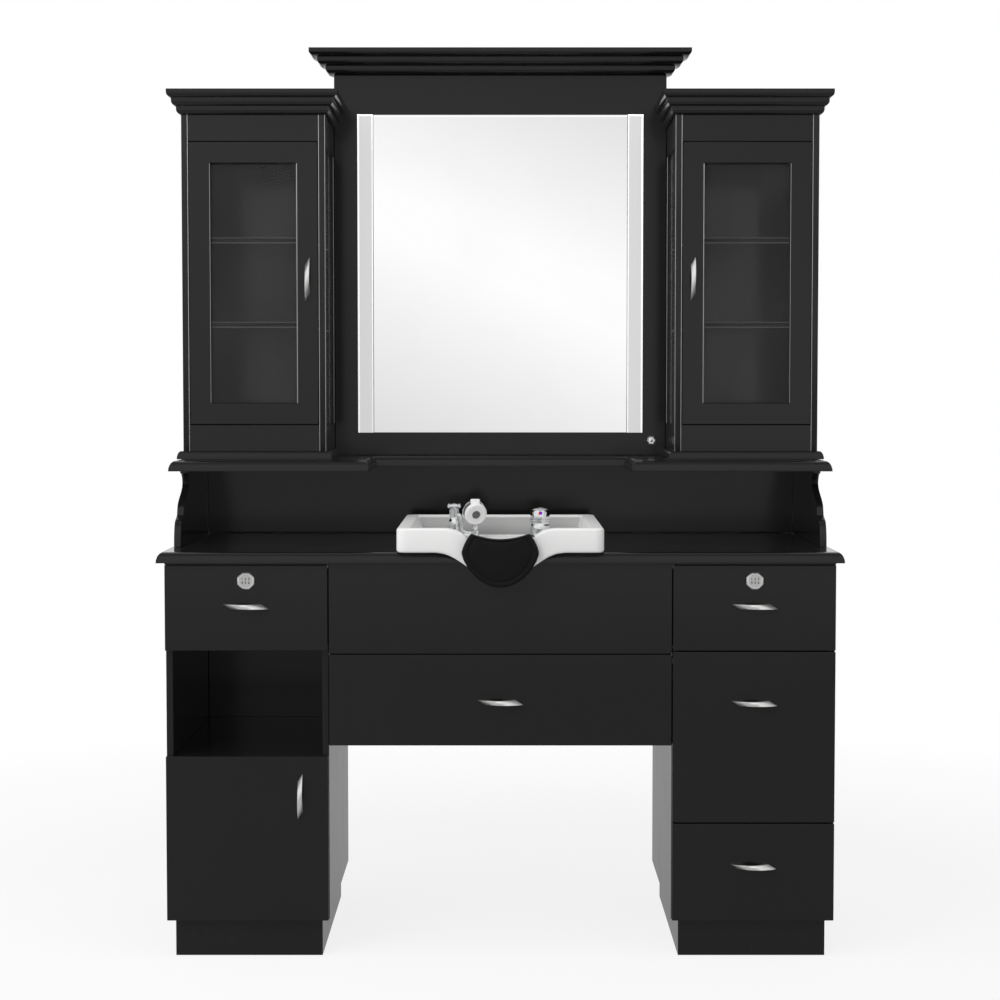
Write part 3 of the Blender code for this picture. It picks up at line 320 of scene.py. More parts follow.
def glazedCeramic():
    look = glazeLook
    material, graph = newFinish("glazedCeramic")
    cloud = graph.noise(*look["cloudNoise"])
    wave = graph.noise(*look["waveNoise"])
    speck = graph.spread(graph.noise(*look["speckNoise"]), *look["speckFrom"])
    tone = graph.blend(cloud, look["body"], look["pale"])
    tone = graph.blend(speck * look["speckShare"], tone, look["speck"])
    place = graph.point()
    y, z = (graph.axis(place, name) for name in ("Y", "Z"))
    normal = graph.node("ShaderNodeNewGeometry", out="Normal")
    # painted shade: the steep, forward-facing inner rear wall below the rim is mixed to a darker grey
    wall = graph.spread(graph.axis(normal, "Z"), *look["steep"])
    for axis, name in ((graph.axis(normal, "Y"), "facing"), (y, "innerRear"), (y, "innerFront"),
                       (z, "innerTop")):
        wall = wall * graph.spread(axis, *look[name])
    # the painted shade gets darker towards the foot of that wall
    thin = graph.blend(graph.spread(z, *look["foot"]), look["thin"], look["paintedShadeFoot"])
    graph.surface({"Base Color": graph.blend(wall, tone, thin), "Specular IOR Level": look["gloss"],
                   "Roughness": look["roughness"] + cloud.swing(look["cloudRough"]),
                   "Normal": graph.bump(wave, look["waveDepth"])})
    return material


# moulded plastics: the spray's white and grey, white glowing edge strips and pale band and lip strips that are
# painted highlights, and black for printed marks and a painted shadow strip
plasticLook = {  # each plastic: tones, roughness, depth of the pebbling, glow
    "whitePlastic": ((grey(0.85), grey(0.90)), 0.32, 0.00001, 0.0),
    "nozzleGrey": ((grey(0.09), grey(0.13)), 0.45, 0.00002, 0.0),
    "paintedHighlightEdge": ((grey(0.90), grey(0.94)), 0.15, 0.000005, 0.6),
    "paintedHighlightBand": ((grey(0.33), grey(0.39)), 0.35, 0.000005, 0.0),
    "paintedHighlightLip": ((grey(0.09), grey(0.12)), 0.35, 0.000005, 0.0),
    "printAndShadeBlack": ((grey(0.010), grey(0.020)), 0.4, 0.00001, 0.0),
    "cloudNoise": (55.0, 3.0), "pebbleNoise": (1600.0, 2.0), "pebbleRough": 0.1,
}


def mouldedPlastic(name):
    look = plasticLook
    material, graph = newFinish(name)
    tones, roughness, depth, glow = look[name]
    cloud = graph.noise(*look["cloudNoise"])
    pebble = graph.noise(*look["pebbleNoise"])
    graph.surface({"Base Color": graph.blend(cloud, *tones),
                   "Roughness": roughness + pebble.swing(look["pebbleRough"]),
                   "Normal": graph.bump(pebble, depth), "Emission Color": grey(1.0), "Emission Strength": glow})
    return material


# dull black rubber of the neck rest and the seals, with a little dust
rubberLook = {
    "deep": grey(0.0072), "pale": grey(0.011), "cloudNoise": (24.0, 3.0), "roughness": 0.45, "gloss": 0.05,
    "dust": grey(0.018), "dustNoise": (95.0, 5.0), "dustFrom": (0.62, 0.78), "dustShare": 0.3,
    "dustRough": 0.15, "pebbleNoise": (700.0, 2.0), "pebbleRough": 0.1, "pebbleDepth": 0.00002,
}


def blackRubber():
    look = rubberLook
    material, graph = newFinish("blackRubber")
    cloud = graph.noise(*look["cloudNoise"])
    pebble = graph.noise(*look["pebbleNoise"])
    dust = graph.spread(graph.noise(*look["dustNoise"]), *look["dustFrom"])
    tone = graph.blend(cloud, look["deep"], look["pale"])
    rough = look["roughness"] + dust * look["dustRough"] + pebble.swing(look["pebbleRough"])
    graph.surface({"Base Color": graph.blend(dust * look["dustShare"], tone, look["dust"]), "Roughness": rough,
                   "Specular IOR Level": look["gloss"], "Normal": graph.bump(pebble, look["pebbleDepth"])})
    return material


# the two-colour enamel dot on the mixer: hot at the left, cold at the right
dotLook = {
    "hot": (0.93, 0.02, 0.01, 1.0), "cold": (0.01, 0.015, 0.93, 1.0), "middleX": 0.1, "roughness": 0.5,
    "gloss": 0.0, "cloudNoise": (900.0, 2.0), "cloudRough": 0.1,
}


def enamelDot():
    look = dotLook
    material, graph = newFinish("enamelDot")
    side = graph.axis(graph.point(), "X").over(look["middleX"])
    cloud = graph.noise(*look["cloudNoise"])
    graph.surface({"Base Color": graph.blend(side, look["hot"], look["cold"]),
                   "Specular IOR Level": look["gloss"],
                   "Roughness": look["roughness"] + cloud * look["cloudRough"]})
    return material


finishes = {  # first one for each slot of the part, then those that only pieces made here have
    "black_lacquer": blackLacquer(),
    "drawer_board": drawerBoard(),
    "satin_nickel": satinNickel("satinNickel"),
    "chrome": chrome(),
    "glass": clearGlass(),
    "mirror_silver": mirrorSilver(),
    "opal_acrylic": opalAcrylic(),
    "glazed_ceramic": glazedCeramic(),
    "white_plastic": mouldedPlastic("whitePlastic"),
    "black_rubber": blackRubber(),
    "enamelDot": enamelDot(),
}
for finishName in ("uprightNickel", "dialNickel"):
    finishes[finishName] = satinNickel(finishName)
for finishName in ("nozzleGrey", "paintedHighlightEdge", "paintedHighlightBand", "paintedHighlightLip", "printAndShadeBlack"):
    finishes[finishName] = mouldedPlastic(finishName)
print("finishes:", len(finishes))


# solids that stay get their finish, joined facets and worn-off edges
dressing = {
    "weld": 0.00001, "flat": 1.0, "edge": 0.0006, "edgeAngle": 34.0, "edgeSteps": 2,
    "eased": ("black_lacquer", "drawer_board"),
}


def dressNode(name):
    node = cadNodes[name]
    slot = node.material_slots[0]
    eased = slot.material.name in dressing["eased"]
    slot.material = finishes[slot.material.name]
    node.data.polygons.foreach_set("use_smooth", [True] * len(node.data.polygons))
    weld = node.modifiers.new("joinFacets", "WELD")
    weld.merge_threshold = dressing["weld"]
    flat = node.modifiers.new("joinFlats", "DECIMATE")
    flat.decimate_type = "DISSOLVE"
    flat.angle_limit = math.radians(dressing["flat"])
    if eased:
        edge = node.modifiers.new("easeEdges", "BEVEL")
        edge.width = dressing["edge"]
        edge.segments = dressing["edgeSteps"]
        edge.limit_method = "ANGLE"
        edge.angle_limit = math.radians(dressing["edgeAngle"])
    else:
        split = node.modifiers.new("keepCorners", "EDGE_SPLIT")
        split.split_angle = math.radians(dressing["edgeAngle"])
    node.modifiers.new("flatFaces", "WEIGHTED_NORMAL")


for nodeName in cadNodes:
    dressNode(nodeName)
print("solids dressed")


def loft(rings, loop=False, ends=True):
    shape = bmesh.new()
    rows = [[shape.verts.new(point) for point in ring] for ring in rings]
    pairs = list(zip(rows, rows[1:]))
    if loop:
        pairs.append((rows[-1], rows[0]))
    elif ends:
        shape.faces.new(rows[0])
        shape.faces.new(rows[-1])
    for first, second in pairs:
        for i in range(len(first)):
            j = (i + 1) % len(first)
            shape.faces.new((first[i], first[j], second[j], second[i]))
    return shape


# profile: (radius, height) from one pole or hole to the other, facing -1 turns it over
def turned(profile, place, axis="Z", steps=48, facing=1):
    shape = bmesh.new()
    rows = []
    for radius, height in profile:
        row = []
        rise = facing * height
        for step in range(steps if radius > 0 else 1):
            angle = 2 * math.pi * step / steps
            a, b = radius * math.cos(angle), radius * math.sin(angle)
            local = {"Z": (a, b, rise), "Y": (a, -rise, b), "X": (rise, a, b)}[axis]
            row.append(shape.verts.new(Vector(place) + Vector(local)))
        rows.append(row)
    for first, second in zip(rows, rows[1:]):
        for step in range(steps):
            after = (step + 1) % steps
            corners = [first[step % len(first)], first[after % len(first)],
                       second[after % len(second)], second[step % len(second)]]
            shape.faces.new(list(dict.fromkeys(corners)))
    return shape


def slab(corner, opposite, edge=0.0, segments=3):
    shape = bmesh.new()
    bmesh.ops.create_cube(shape, size=1.0)
    for vertex in shape.verts:
        for axis in range(3):
            ends = (corner[axis], opposite[axis])
            vertex.co[axis] = max(ends) if vertex.co[axis] > 0 else min(ends)
    if edge > 0:
        bmesh.ops.bevel(shape, geom=list(shape.edges), offset=edge, segments=segments, profile=0.5,
                        affect="EDGES")
    return shape


def joined(shapes):
    whole = bmesh.new()
    for shape in shapes:
        spare = bpy.data.meshes.new("spare")
        shape.to_mesh(spare)
        shape.free()
        whole.from_mesh(spare)
        bpy.data.meshes.remove(spare)
    return whole


def polygon(x, z, flats, sides):  # flat at the top, sized across the flats
    radius = flats / 2 / math.cos(math.pi / sides)
    angles = [2 * math.pi * (i + 0.5) / sides + math.pi / 2 for i in range(sides)]
    return [(x + radius * math.cos(a), z + radius * math.sin(a)) for a in angles]


def quarter(steps):
    return [math.pi / 2 * step / steps for step in range(steps + 1)]


def middleOf(node):
    low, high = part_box(node)
    return (low + high) / 2


def titled(name):
    return "".join(word.title() for word in name.split("_"))


bothSides = ((-1, "left"), (1, "right"))


def addPiece(name, shape, slot, body="station", hides=(), finish=None, crease=35.0, levels=0):
    bmesh.ops.recalc_face_normals(shape, faces=list(shape.faces))
    data = bpy.data.meshes.new(name)
    shape.to_mesh(data)
    shape.free()
    data.materials.append(finishes[finish or slot])
    data.polygons.foreach_set("use_smooth", [True] * len(data.polygons))
    data.set_sharp_from_angle(angle=math.radians(crease))
    piece = bpy.data.objects.new(name, data)
    scene.collection.objects.link(piece)
    if levels:
        smooth = piece.modifiers.new("smooth", "SUBSURF")
        smooth.levels = levels
        smooth.render_levels = levels
    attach(piece, body)
    if hides:
        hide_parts(*hides)
    return piece


# crowns: three tiers, each a fillet over an ovolo
crownSizes = {
    "tiers": 3, "ovoloShare": 0.6, "steps": 9, "sideReach": 0.032, "centreReach": 0.06, "inner": 0.4302,
    "outer": 0.7825, "front": 0.018, "panelFace": 0.319, "wall": 0.365, "seat": 0.0003,
}


def crownLevels(bottom, height, reach):
    levels = [(0.0, bottom)]
    tier, step = height / crownSizes["tiers"], reach / crownSizes["tiers"]
    for index in range(crownSizes["tiers"]):
        foot = bottom + tier * index
        for turn in quarter(crownSizes["steps"])[1:]:
            rise = tier * crownSizes["ovoloShare"] * (1 - math.cos(turn))
            levels.append((step * (index + math.sin(turn)), foot + rise))
        levels.append((step * (index + 1), foot + tier))
    return levels


def makeCrowns():
    size = crownSizes
    inner, outer, front, wall = size["inner"], size["outer"], size["front"], size["wall"]
    stop = size["panelFace"] - size["seat"]
    for side, name in bothSides:
        low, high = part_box(f"{name}_crown")
        rings = []
        for out, z in crownLevels(low.z, high.z - low.z, size["sideReach"]):
            plan = [(inner - out, front - out), (outer + out, front - out), (outer + out, wall),
                    (inner + size["seat"], wall), (inner + size["seat"], stop), (inner - out, stop)]
            rings.append([(side * x, y, z) for x, y in plan])
        addPiece(f"{name}Crown", loft(rings), "black_lacquer", hides=[f"{name}_crown"])
    low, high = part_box("centre_crown")
    rings = []
    for out, z in crownLevels(low.z, high.z - low.z, size["centreReach"]):
        x, near = inner + out, size["panelFace"] - out
        rings.append([(-x, near, z), (x, near, z), (x, wall, z), (-x, wall, z)])
    addPiece("centreCrown", loft(rings), "black_lacquer", hides=["centre_crown"])


makeCrowns()
print("crowns made")


# bow pulls: a sheared strip with a ridge along its middle (levels: share of half the height, ridge, back)
pullSizes = {
    "length": 0.107, "height": 0.0112, "shear": 0.0095, "reach": 0.0235, "thickness": 0.0045, "tip": 0.0062,
    "foot": 0.008, "bow": 2.0, "steps": 26,
    "levels": ((-1.0, -0.0007, 0.0006), (-0.88, 0.0, 0.0), (0.12, 0.0006, 0.0), (0.86, -0.0006, 0.0),
               (1.0, -0.0014, 0.0006)),
    "bodies": ("left_drawer", "right_top_drawer", "right_middle_drawer", "right_bottom_drawer",
               "centre_drawer", "lower_door", "left_door", "right_door"),
}


def pullShape(place, upright):
    size = pullSizes
    half, tip = size["length"] / 2 - size["shear"], size["tip"]
    inner = half - size["foot"]
    shares = [step / size["steps"] for step in range(-size["steps"], size["steps"] + 1)]
    curve = [(share, 1 - abs(share) ** size["bow"]) for share in shares]
    rings = []
    for level, ridge, back in size["levels"]:
        front, rear = size["reach"] + ridge - tip, size["reach"] - size["thickness"] + back
        ring = [(share * half, -tip - front * bow) for share, bow in curve]
        ring.append((half, 0.0))
        ring += [(share * inner, -rear * bow) for share, bow in reversed(curve)]
        ring.append((-half, 0.0))
        rings.append([(x - level * size["shear"], y, level * size["height"] / 2) for x, y in ring])
    shape = loft(rings)
    for vertex in shape.verts:
        x, y, z = vertex.co
        across, along = (z, -x) if upright else (x, z)
        vertex.co = (place[0] + across, place[1] + y, place[2] + along)
    return shape


def makePulls():
    for body in pullSizes["bodies"]:
        node = f"{body}_handle"
        low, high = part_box(node)
        middle = middleOf(node)
        upright = high.z - low.z > high.x - low.x
        shape = pullShape((middle.x, high.y, middle.z), upright)
        metal = "uprightNickel" if upright else None
        addPiece(f"{titled(body)}Pull", shape, "satin_nickel", body, [node], metal, crease=14.0)


makePulls()


# wash bowl: a rim with a notch for the neck, a tap deck and a tapered basin with its waste hole
bowlLow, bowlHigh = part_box("bowl")
bowlSizes = {
    "half": bowlHigh.x, "front": bowlLow.y, "rear": bowlHigh.y, "rim": bowlHigh.z, "counter": 0.9563,
    "corner": 0.022, "innerCorner": 0.0066, "rimWidth": 0.034, "deck": 0.962, "notch": 0.974, "round": 0.006,
    "under": 0.007, "lip": 0.007, "footWidth": 0.044, "footRound": 0.004, "footEase": 0.9, "notchHalf": 0.072,
    "shoulder": 0.06, "skirtHalf": 0.15, "skirtDrop": 0.068, "skirtThickness": 0.011, "skirtLean": 0.002,
    "frontShare": 0.95, "basinHalf": 0.186, "basinFront": -0.275, "basinRear": 0.027, "basinFloor": 0.801,
    "basinCorner": 0.055, "taper": 0.05, "wall": 0.01, "fillet": 0.022, "filletShare": 0.8,
    "wasteRadius": 0.0203,
}
bowlSteps = {"flat": 8, "shoulder": 16, "outer": 8, "corner": 10, "edge": 8, "round": 4}


def frontStations(limit):
    size, steps = bowlSizes, bowlSteps
    right = [size["notchHalf"] * step / steps["flat"] for step in range(1, steps["flat"] + 1)]
    turns = quarter(steps["shoulder"])[1:]
    right += [size["notchHalf"] + size["shoulder"] * (1 - math.cos(turn)) for turn in turns]
    right.append(size["skirtHalf"])
    squeeze = min(1.0, size["frontShare"] * limit / size["skirtHalf"])
    right = [x * squeeze for x in right]
    last = right[-1]
    right += [last + (limit - last) * step / steps["outer"] for step in range(1, steps["outer"] + 1)]
    return [-x for x in reversed(right)] + [0.0] + right


def bowlRing(half, front, rear, radius, level, frontLevel=None):
    x, near, far = half - radius, front + radius, rear - radius
    ring = [(station, front, frontLevel(station) if frontLevel else level) for station in frontStations(x)]
    shares = [step / bowlSteps["edge"] for step in range(bowlSteps["edge"] + 1)]
    edges = [[], [(half, near + (far - near) * share) for share in shares],
             [(x - 2 * x * share, rear) for share in shares],
             [(-half, far - (far - near) * share) for share in shares]]
    for index, (midX, midY) in enumerate([(x, near), (x, far), (-x, far), (-x, near)]):
        ring += [(edgeX, edgeY, level) for edgeX, edgeY in edges[index]]
        for step in range(1, bowlSteps["corner"]):
            angle = math.pi / 2 * (index - 1 + step / bowlSteps["corner"])
            ring.append((midX + radius * math.cos(angle), midY + radius * math.sin(angle), level))
    return ring


def skirtDrop(x):
    size = bowlSizes
    if abs(x) >= size["skirtHalf"]:
        return 0.0
    return size["skirtDrop"] / 2 * (1 + math.cos(math.pi * x / size["skirtHalf"]))


def notchLevel(x):
    size = bowlSizes
    past = size["notchHalf"] + size["shoulder"] - abs(x)
    if past <= 0:
        return size["rim"]
    if past >= size["shoulder"]:
        return size["notch"]
    return size["notch"] + (size["rim"] - size["notch"]) * math.sqrt(1 - (past / size["shoulder"]) ** 2)


def makeBowl():
    size = bowlSizes
    soft, wide, deck, rim, base = size["round"], size["rimWidth"], size["deck"], size["rim"], size["counter"]
    turns = quarter(bowlSteps["round"])

    def outer(inset, level, frontLevel=None):
        radius = max(size["corner"] - inset, size["innerCorner"])
        return bowlRing(size["half"] - inset, size["front"] + inset, size["rear"] - inset, radius,
                        level, frontLevel)

    def basin(grow, level):
        return bowlRing(size["basinHalf"] + grow, size["basinFront"] - grow, size["basinRear"] + grow,
                        size["basinCorner"], level)

    def waste(level):  # each point of the basin's outline drawn in to the round hole
        middle, hole = (size["basinFront"] + size["basinRear"]) / 2, size["wasteRadius"]
        ring = []
        for x, y, _ in basin(-size["taper"], level):
            reach = math.hypot(x, y - middle)
            ring.append((x / reach * hole, middle + (y - middle) / reach * hole, level))
        return ring

    floor, wall, fillet = size["basinFloor"], size["wall"], size["fillet"]
    slope = size["taper"] / (deck - floor)
    rings = [waste(floor - wall), basin(wall - size["taper"], floor - wall), basin(wall, base)]
    rings.append(outer(size["skirtThickness"] + size["skirtLean"], base))
    rings.append(outer(size["skirtThickness"], base, lambda x: base - skirtDrop(x)))
    for turn in turns:
        rise = size["under"] * (1 - math.cos(turn))
        inset = size["under"] * (1 - math.sin(turn))
        rings.append(outer(inset, base + rise, lambda x, r=rise: base + r - skirtDrop(x)))
    for turn in turns:
        drop = soft * (1 - math.sin(turn))
        rings.append(outer(soft * (1 - math.cos(turn)), rim - drop, lambda x, d=drop: notchLevel(x) - d))
    for turn in turns:
        drop = soft * (1 - math.cos(turn))
        inset = wide - soft + soft * math.sin(turn)
        rings.append(outer(inset, rim - drop, lambda x, d=drop: notchLevel(x) - d))
    for turn in turns:
        rise = size["footRound"] * (1 - math.sin(turn))
        inset = size["footWidth"] + size["footRound"] * (1 - math.cos(turn))
        rings.append(outer(inset, deck + rise, lambda x, r=rise: deck + r * size["footEase"]))
    for turn in turns:
        rings.append(basin(size["lip"] * (1 - math.sin(turn)), deck - size["lip"] * (1 - math.cos(turn))))
    for turn in reversed(turns):
        rise = fillet * (1 - math.cos(turn))
        inset = -slope * (deck - floor - fillet) - fillet * (1 - math.sin(turn)) * size["filletShare"]
        rings.append(basin(inset, floor + rise))
    rings.append(waste(floor))
    addPiece("washBowl", loft(rings, loop=True), "glazed_ceramic", hides=["bowl"], crease=50.0)


makeBowl()
print("bowl made")


# strainer in the waste: a boss on three bars
strainerSizes = {
    "sink": 0.0073, "reach": 0.0172, "bar": 0.0016, "deep": 0.003, "edge": 0.0004, "bars": 3,
    "boss": ((0, -0.003), (0.004, -0.003), (0.005, -0.001), (0.004, 0.001), (0, 0.0016)),
}


def makeStrainer():
    size = strainerSizes
    place = middleOf("drain")
    place.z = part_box("drain")[1].z - size["sink"]
    long, half = size["reach"], size["bar"] / 2
    shapes = [turned(size["boss"], place, steps=24)]
    for index in range(size["bars"]):
        bar = slab((-long, -half, -size["deep"]), (long, half, 0.0), size["edge"], segments=2)
        turn = Matrix.Translation(place) @ Matrix.Rotation(math.pi * index / size["bars"], 4, "Z")
        bmesh.ops.transform(bar, matrix=turn, verts=list(bar.verts))
        shapes.append(bar)
    addPiece("wasteStrainer", joined(shapes), "chrome")


makeStrainer()


# neck rest: a moulded shield with a piped rim and a swollen panel, and a saddle back over the notch
# (saddle: lift, scale, the saddle's Y and share; profile: scale, share of the depth)
neckSizes = {
    "half": 0.0895, "drop": 0.081, "middle": 0.9585, "top": 1.002, "shoulder": 0.0675, "sag": 0.013,
    "rear": -0.3378, "depth": 0.0272, "taper": 1.45, "notchFloor": 0.9746, "arcSteps": 84, "topSteps": 36,
    "saddle": ((0.0, 0.94, -0.3378, 0.0), (0.0, 0.945, -0.2992, 0.0), (0.3, 0.95, -0.2952, 0.1),
               (0.6, 0.955, -0.2952, 0.6), (0.85, 0.96, -0.2982, 0.74), (1.0, 0.965, -0.3052, 0.8)),
    "saddleWidth": 0.985, "saddleDepth": 0.3,
    "profile": ((0.97, 0.02), (0.99, 0.07), (1.0, 0.16), (1.003, 0.34), (1.002, 0.56), (0.994, 0.73),
                (0.976, 0.84), (0.952, 0.892), (0.928, 0.906), (0.905, 0.908), (0.88, 0.9), (0.862, 0.875),
                (0.85, 0.842), (0.84, 0.828), (0.828, 0.842), (0.812, 0.88), (0.79, 0.912), (0.74, 0.95),
                (0.64, 0.985), (0.5, 1.008), (0.34, 1.022), (0.18, 1.03), (0.06, 1.032)),
}


def neckOutline():
    size = neckSizes
    start = math.asin((size["top"] - size["middle"]) / size["drop"])
    narrowing = size["shoulder"] / (size["half"] * math.cos(start)) - 1
    points = []
    for step in range(size["arcSteps"] + 1):
        angle = start - (math.pi + 2 * start) * step / size["arcSteps"]
        rise = math.sin(angle)
        if rise > 0:
            x = size["half"] * math.cos(angle) * (1 + narrowing * rise / math.sin(start))
        else:
            x = math.copysign(size["half"] * math.sqrt(1 - (-rise) ** size["taper"]), math.cos(angle))
        points.append((x, size["middle"] + size["drop"] * rise))
    for step in range(1, size["topSteps"]):
        share = step / size["topSteps"] * 2 - 1
        points.append((size["shoulder"] * share, size["top"] - size["sag"] * (1 - share * share)))
    return points


def makeNeckRest():
    size = neckSizes
    outline = neckOutline()
    floor, middle, rear = size["notchFloor"], size["middle"], size["rear"]
    last = size["arcSteps"]

    def onSaddle(index):
        return index == 0 or index >= last

    rings = []
    for lift, scale, saddleY, saddleShare in size["saddle"]:
        ring = []
        for index, (x, z) in enumerate(outline):
            if onSaddle(index):
                ring.append((x * size["saddleWidth"], saddleY, floor + (z - floor) * saddleShare))
            else:
                top = min(z, floor + (z - floor) * lift) if z > floor else z
                ring.append((x * scale, rear, middle + (top - middle) * scale))
        rings.append(ring)
    for scale, share in size["profile"]:
        ring = []
        for index, (x, z) in enumerate(outline):
            grow = max(scale, 1.0) if onSaddle(index) and share < size["saddleDepth"] else scale
            ring.append((x * grow, rear - size["depth"] * share, middle + (z - middle) * grow))
        rings.append(ring)
    shape = loft(rings, ends=False)
    count = len(outline)
    points = list(shape.verts)
    for ring, y in ((points[:count], rear), (points[-count:], rear - size["depth"] * size["profile"][-1][1])):
        pole = shape.verts.new((0.0, y, middle))
        for i in range(count):
            shape.faces.new((ring[i], ring[(i + 1) % count], pole))
    rest = addPiece("neckRest", shape, "black_rubber", hides=["neck_rest"], crease=180.0, levels=1)


makeNeckRest()
print("neck rest made")


# spray stand on the tap deck: a column with a tee handle, an arm, the cup of the spray and its pipe
standSizes = {
    "place": (-0.116, 0.097, 0.9623), "cupX": -0.063, "armRise": 0.0056,
    "arm": ((0, 0.008), (0.0052, 0.008), (0.0052, 0.035), (0.0062, 0.036), (0.0062, 0.041), (0.0052, 0.042),
            (0.0052, 0.047), (0, 0.047)),
    "column": ((0, 0), (0.0195, 0), (0.0195, 0.0022), (0.0184, 0.0038), (0.0154, 0.0058), (0.014, 0.008),
               (0.0135, 0.0105), (0.0135, 0.0285), (0.0126, 0.0293), (0.0126, 0.0308), (0.0135, 0.0316),
               (0.0135, 0.04), (0.013, 0.0418), (0.0118, 0.044), (0.0113, 0.0462), (0.0113, 0.064),
               (0.0122, 0.0658), (0.0122, 0.072), (0.0104, 0.0738), (0, 0.0738)),
    "tee": ((0, -0.0174), (0.003, -0.0171), (0.0051, -0.0156), (0.006, -0.013), (0.0051, -0.0104),
            (0.0043, -0.0092), (0.0046, -0.0066), (0.0056, -0.0044), (0.006, 0.0), (0.0056, 0.0044),
            (0.0046, 0.0066), (0.0043, 0.0092), (0.0051, 0.0104), (0.006, 0.013), (0.0051, 0.0156),
            (0.003, 0.0171), (0, 0.0174)),
    "teeRise": 0.079,
    "cup": ((0.0, 0.0055), (0.0075, 0.0055), (0.0075, 0.0172), (0.008, 0.018), (0.0106, 0.018),
            (0.0114, 0.0174), (0.0114, 0.0158), (0.0108, 0.015), (0.0106, 0.004), (0.0112, 0.0022),
            (0.0112, 0.0), (0.0, 0.0)),
    "pipe": ((-0.112, 0.095, 1.019), (-0.106, 0.0935, 1.0195), (-0.101, 0.0925, 1.0165),
             (-0.0985, 0.092, 1.01), (-0.0982, 0.092, 0.999), (-0.0972, 0.0922, 0.988), (-0.093, 0.093, 0.98),
             (-0.085, 0.0945, 0.9752), (-0.076, 0.096, 0.9738), (-0.066, 0.097, 0.9736)),
    "pipeRadius": 0.0048, "pipeSides": 20, "pipeSteps": 5,
}


def piped(points, radius, sides, steps):  # a round tube along a smooth line through the points
    line = []
    for i in range(len(points) - 1):
        a, b, c, d = (Vector(points[min(max(j, 0), len(points) - 1)]) for j in (i - 1, i, i + 1, i + 2))
        bend, twist = 2 * a - 5 * b + 4 * c - d, 3 * b - a - 3 * c + d
        for step in range(steps):
            t = step / steps
            line.append(((2 * b) + (c - a) * t + bend * t ** 2 + twist * t ** 3) / 2)
    line.append(Vector(points[-1]))
    rings = []
    for i, middle in enumerate(line):
        along = (line[min(i + 1, len(line) - 1)] - line[max(i - 1, 0)]).normalized()
        across = along.cross(Vector((0, 1, 0))).normalized()
        beside = along.cross(across)
        angles = [2 * math.pi * side / sides for side in range(sides)]
        rings.append([middle + (across * math.cos(a) + beside * math.sin(a)) * radius for a in angles])
    return loft(rings)


def makeStand():
    size = standSizes
    x, y, z = size["place"]
    shapes = [turned(size["column"], (x, y, z)),
              turned(size["tee"], (x, y, z + size["teeRise"]), "X", steps=24),
              turned(size["arm"], (x, y, z + size["armRise"]), "X", steps=24),
              turned(size["cup"], (size["cupX"], y, z), steps=36),
              piped(size["pipe"], size["pipeRadius"], size["pipeSides"], size["pipeSteps"])]
    addPiece("sprayStand", joined(shapes), "chrome", hides=["spray_stand"], crease=30.0)


makeStand()


# spray head: a white disc that leans down and to the right, a grey nozzle, a dark back plate in a chrome rim,
# a tab and a stem
spraySizes = {
    "middle": (-0.063, 0.097, 1.0203), "forward": 0.011, "rise": 0.003, "lean": 20.0, "swing": 17.0,
    "grow": 1.07,
    "disc": ((0, -0.0098), (0.011, -0.0096), (0.018, -0.0082), (0.0228, -0.005), (0.0255, -0.001),
             (0.0266, 0.003), (0.0266, 0.0058), (0.0257, 0.0082), (0.024, 0.0096), (0.0215, 0.0099),
             (0.015, 0.0092), (0.0108, 0.0088), (0, 0.0088)),
    "plate": ((0, -0.0122), (0.025, -0.0122), (0.0259, -0.0114), (0.0261, -0.0102), (0.0256, -0.009),
              (0.024, -0.0084), (0, -0.0084)),
    "rim": ((0, -0.0144), (0.026, -0.0144), (0.0271, -0.0138), (0.0276, -0.0129), (0.0272, -0.012),
            (0.0262, -0.0116), (0, -0.0116)),
    "nozzle": ((0, 0.008), (0.0096, 0.008), (0.0096, 0.0096), (0.0088, 0.0108), (0.006, 0.0114), (0, 0.0116)),
    "nub": ((0, -0.0004), (0.0009, -0.0004), (0.0008, 0.0007), (0.0004, 0.001), (0, 0.001)),
    "nubRings": ((0.0033, 5), (0.0066, 9)), "nubLevel": 0.0112,
    "stem": ((0, -0.052), (0.0058, -0.052), (0.0066, -0.05), (0.0066, -0.033), (0.0072, -0.0315),
             (0.0086, -0.03), (0.0086, -0.027), (0.0074, -0.025), (0.0066, -0.02), (0.0064, -0.006),
             (0, -0.006)),
    "tab": ((-0.0118, -0.005, 0.018), (0.0118, 0.006, 0.0388)), "tabEdge": 0.0028,
}


def makeSpray():
    size = spraySizes
    middle = Vector(size["middle"])
    tilt = Euler((math.radians(size["lean"]), 0.0, math.radians(size["swing"]))).to_matrix().to_4x4()
    face = middle + Vector((0.0, -size["forward"], size["rise"]))
    pose = Matrix.Translation(face) @ tilt @ Matrix.Scale(size["grow"], 4) @ Matrix.Translation(-face)
    disc, plate, rim = (turned(size[part], face, "Y", steps=64) for part in ("disc", "plate", "rim"))
    nozzle = [turned(size["nozzle"], face, "Y", steps=40)]
    for radius, count in size["nubRings"]:
        for index in range(count):
            angle = 2 * math.pi * index / count
            nub = Vector((radius * math.cos(angle), -size["nubLevel"], radius * math.sin(angle)))
            nozzle.append(turned(size["nub"], face + nub, "Y", steps=10))
    nozzle = joined(nozzle)
    for shape in (disc, plate, rim, nozzle):
        bmesh.ops.transform(shape, matrix=pose, verts=list(shape.verts))
    low, high = (Vector((face.x, face.y, middle.z)) + Vector(corner) for corner in size["tab"])
    head = joined([disc, slab(low, high, size["tabEdge"], segments=4)])
    addPiece("sprayHead", head, "white_plastic", "spray_head", ["spray_head"])
    addPiece("sprayBackPlate", plate, "black_rubber", "spray_head", finish="nozzleGrey", crease=30.0)
    addPiece("sprayRim", rim, "chrome", "spray_head", crease=30.0)
    addPiece("sprayNozzle", nozzle, "black_rubber", "spray_head", finish="nozzleGrey", crease=25.0)
    addPiece("sprayStem", turned(size["stem"], middle, steps=32), "chrome", "spray_head", crease=30.0)


makeSpray()


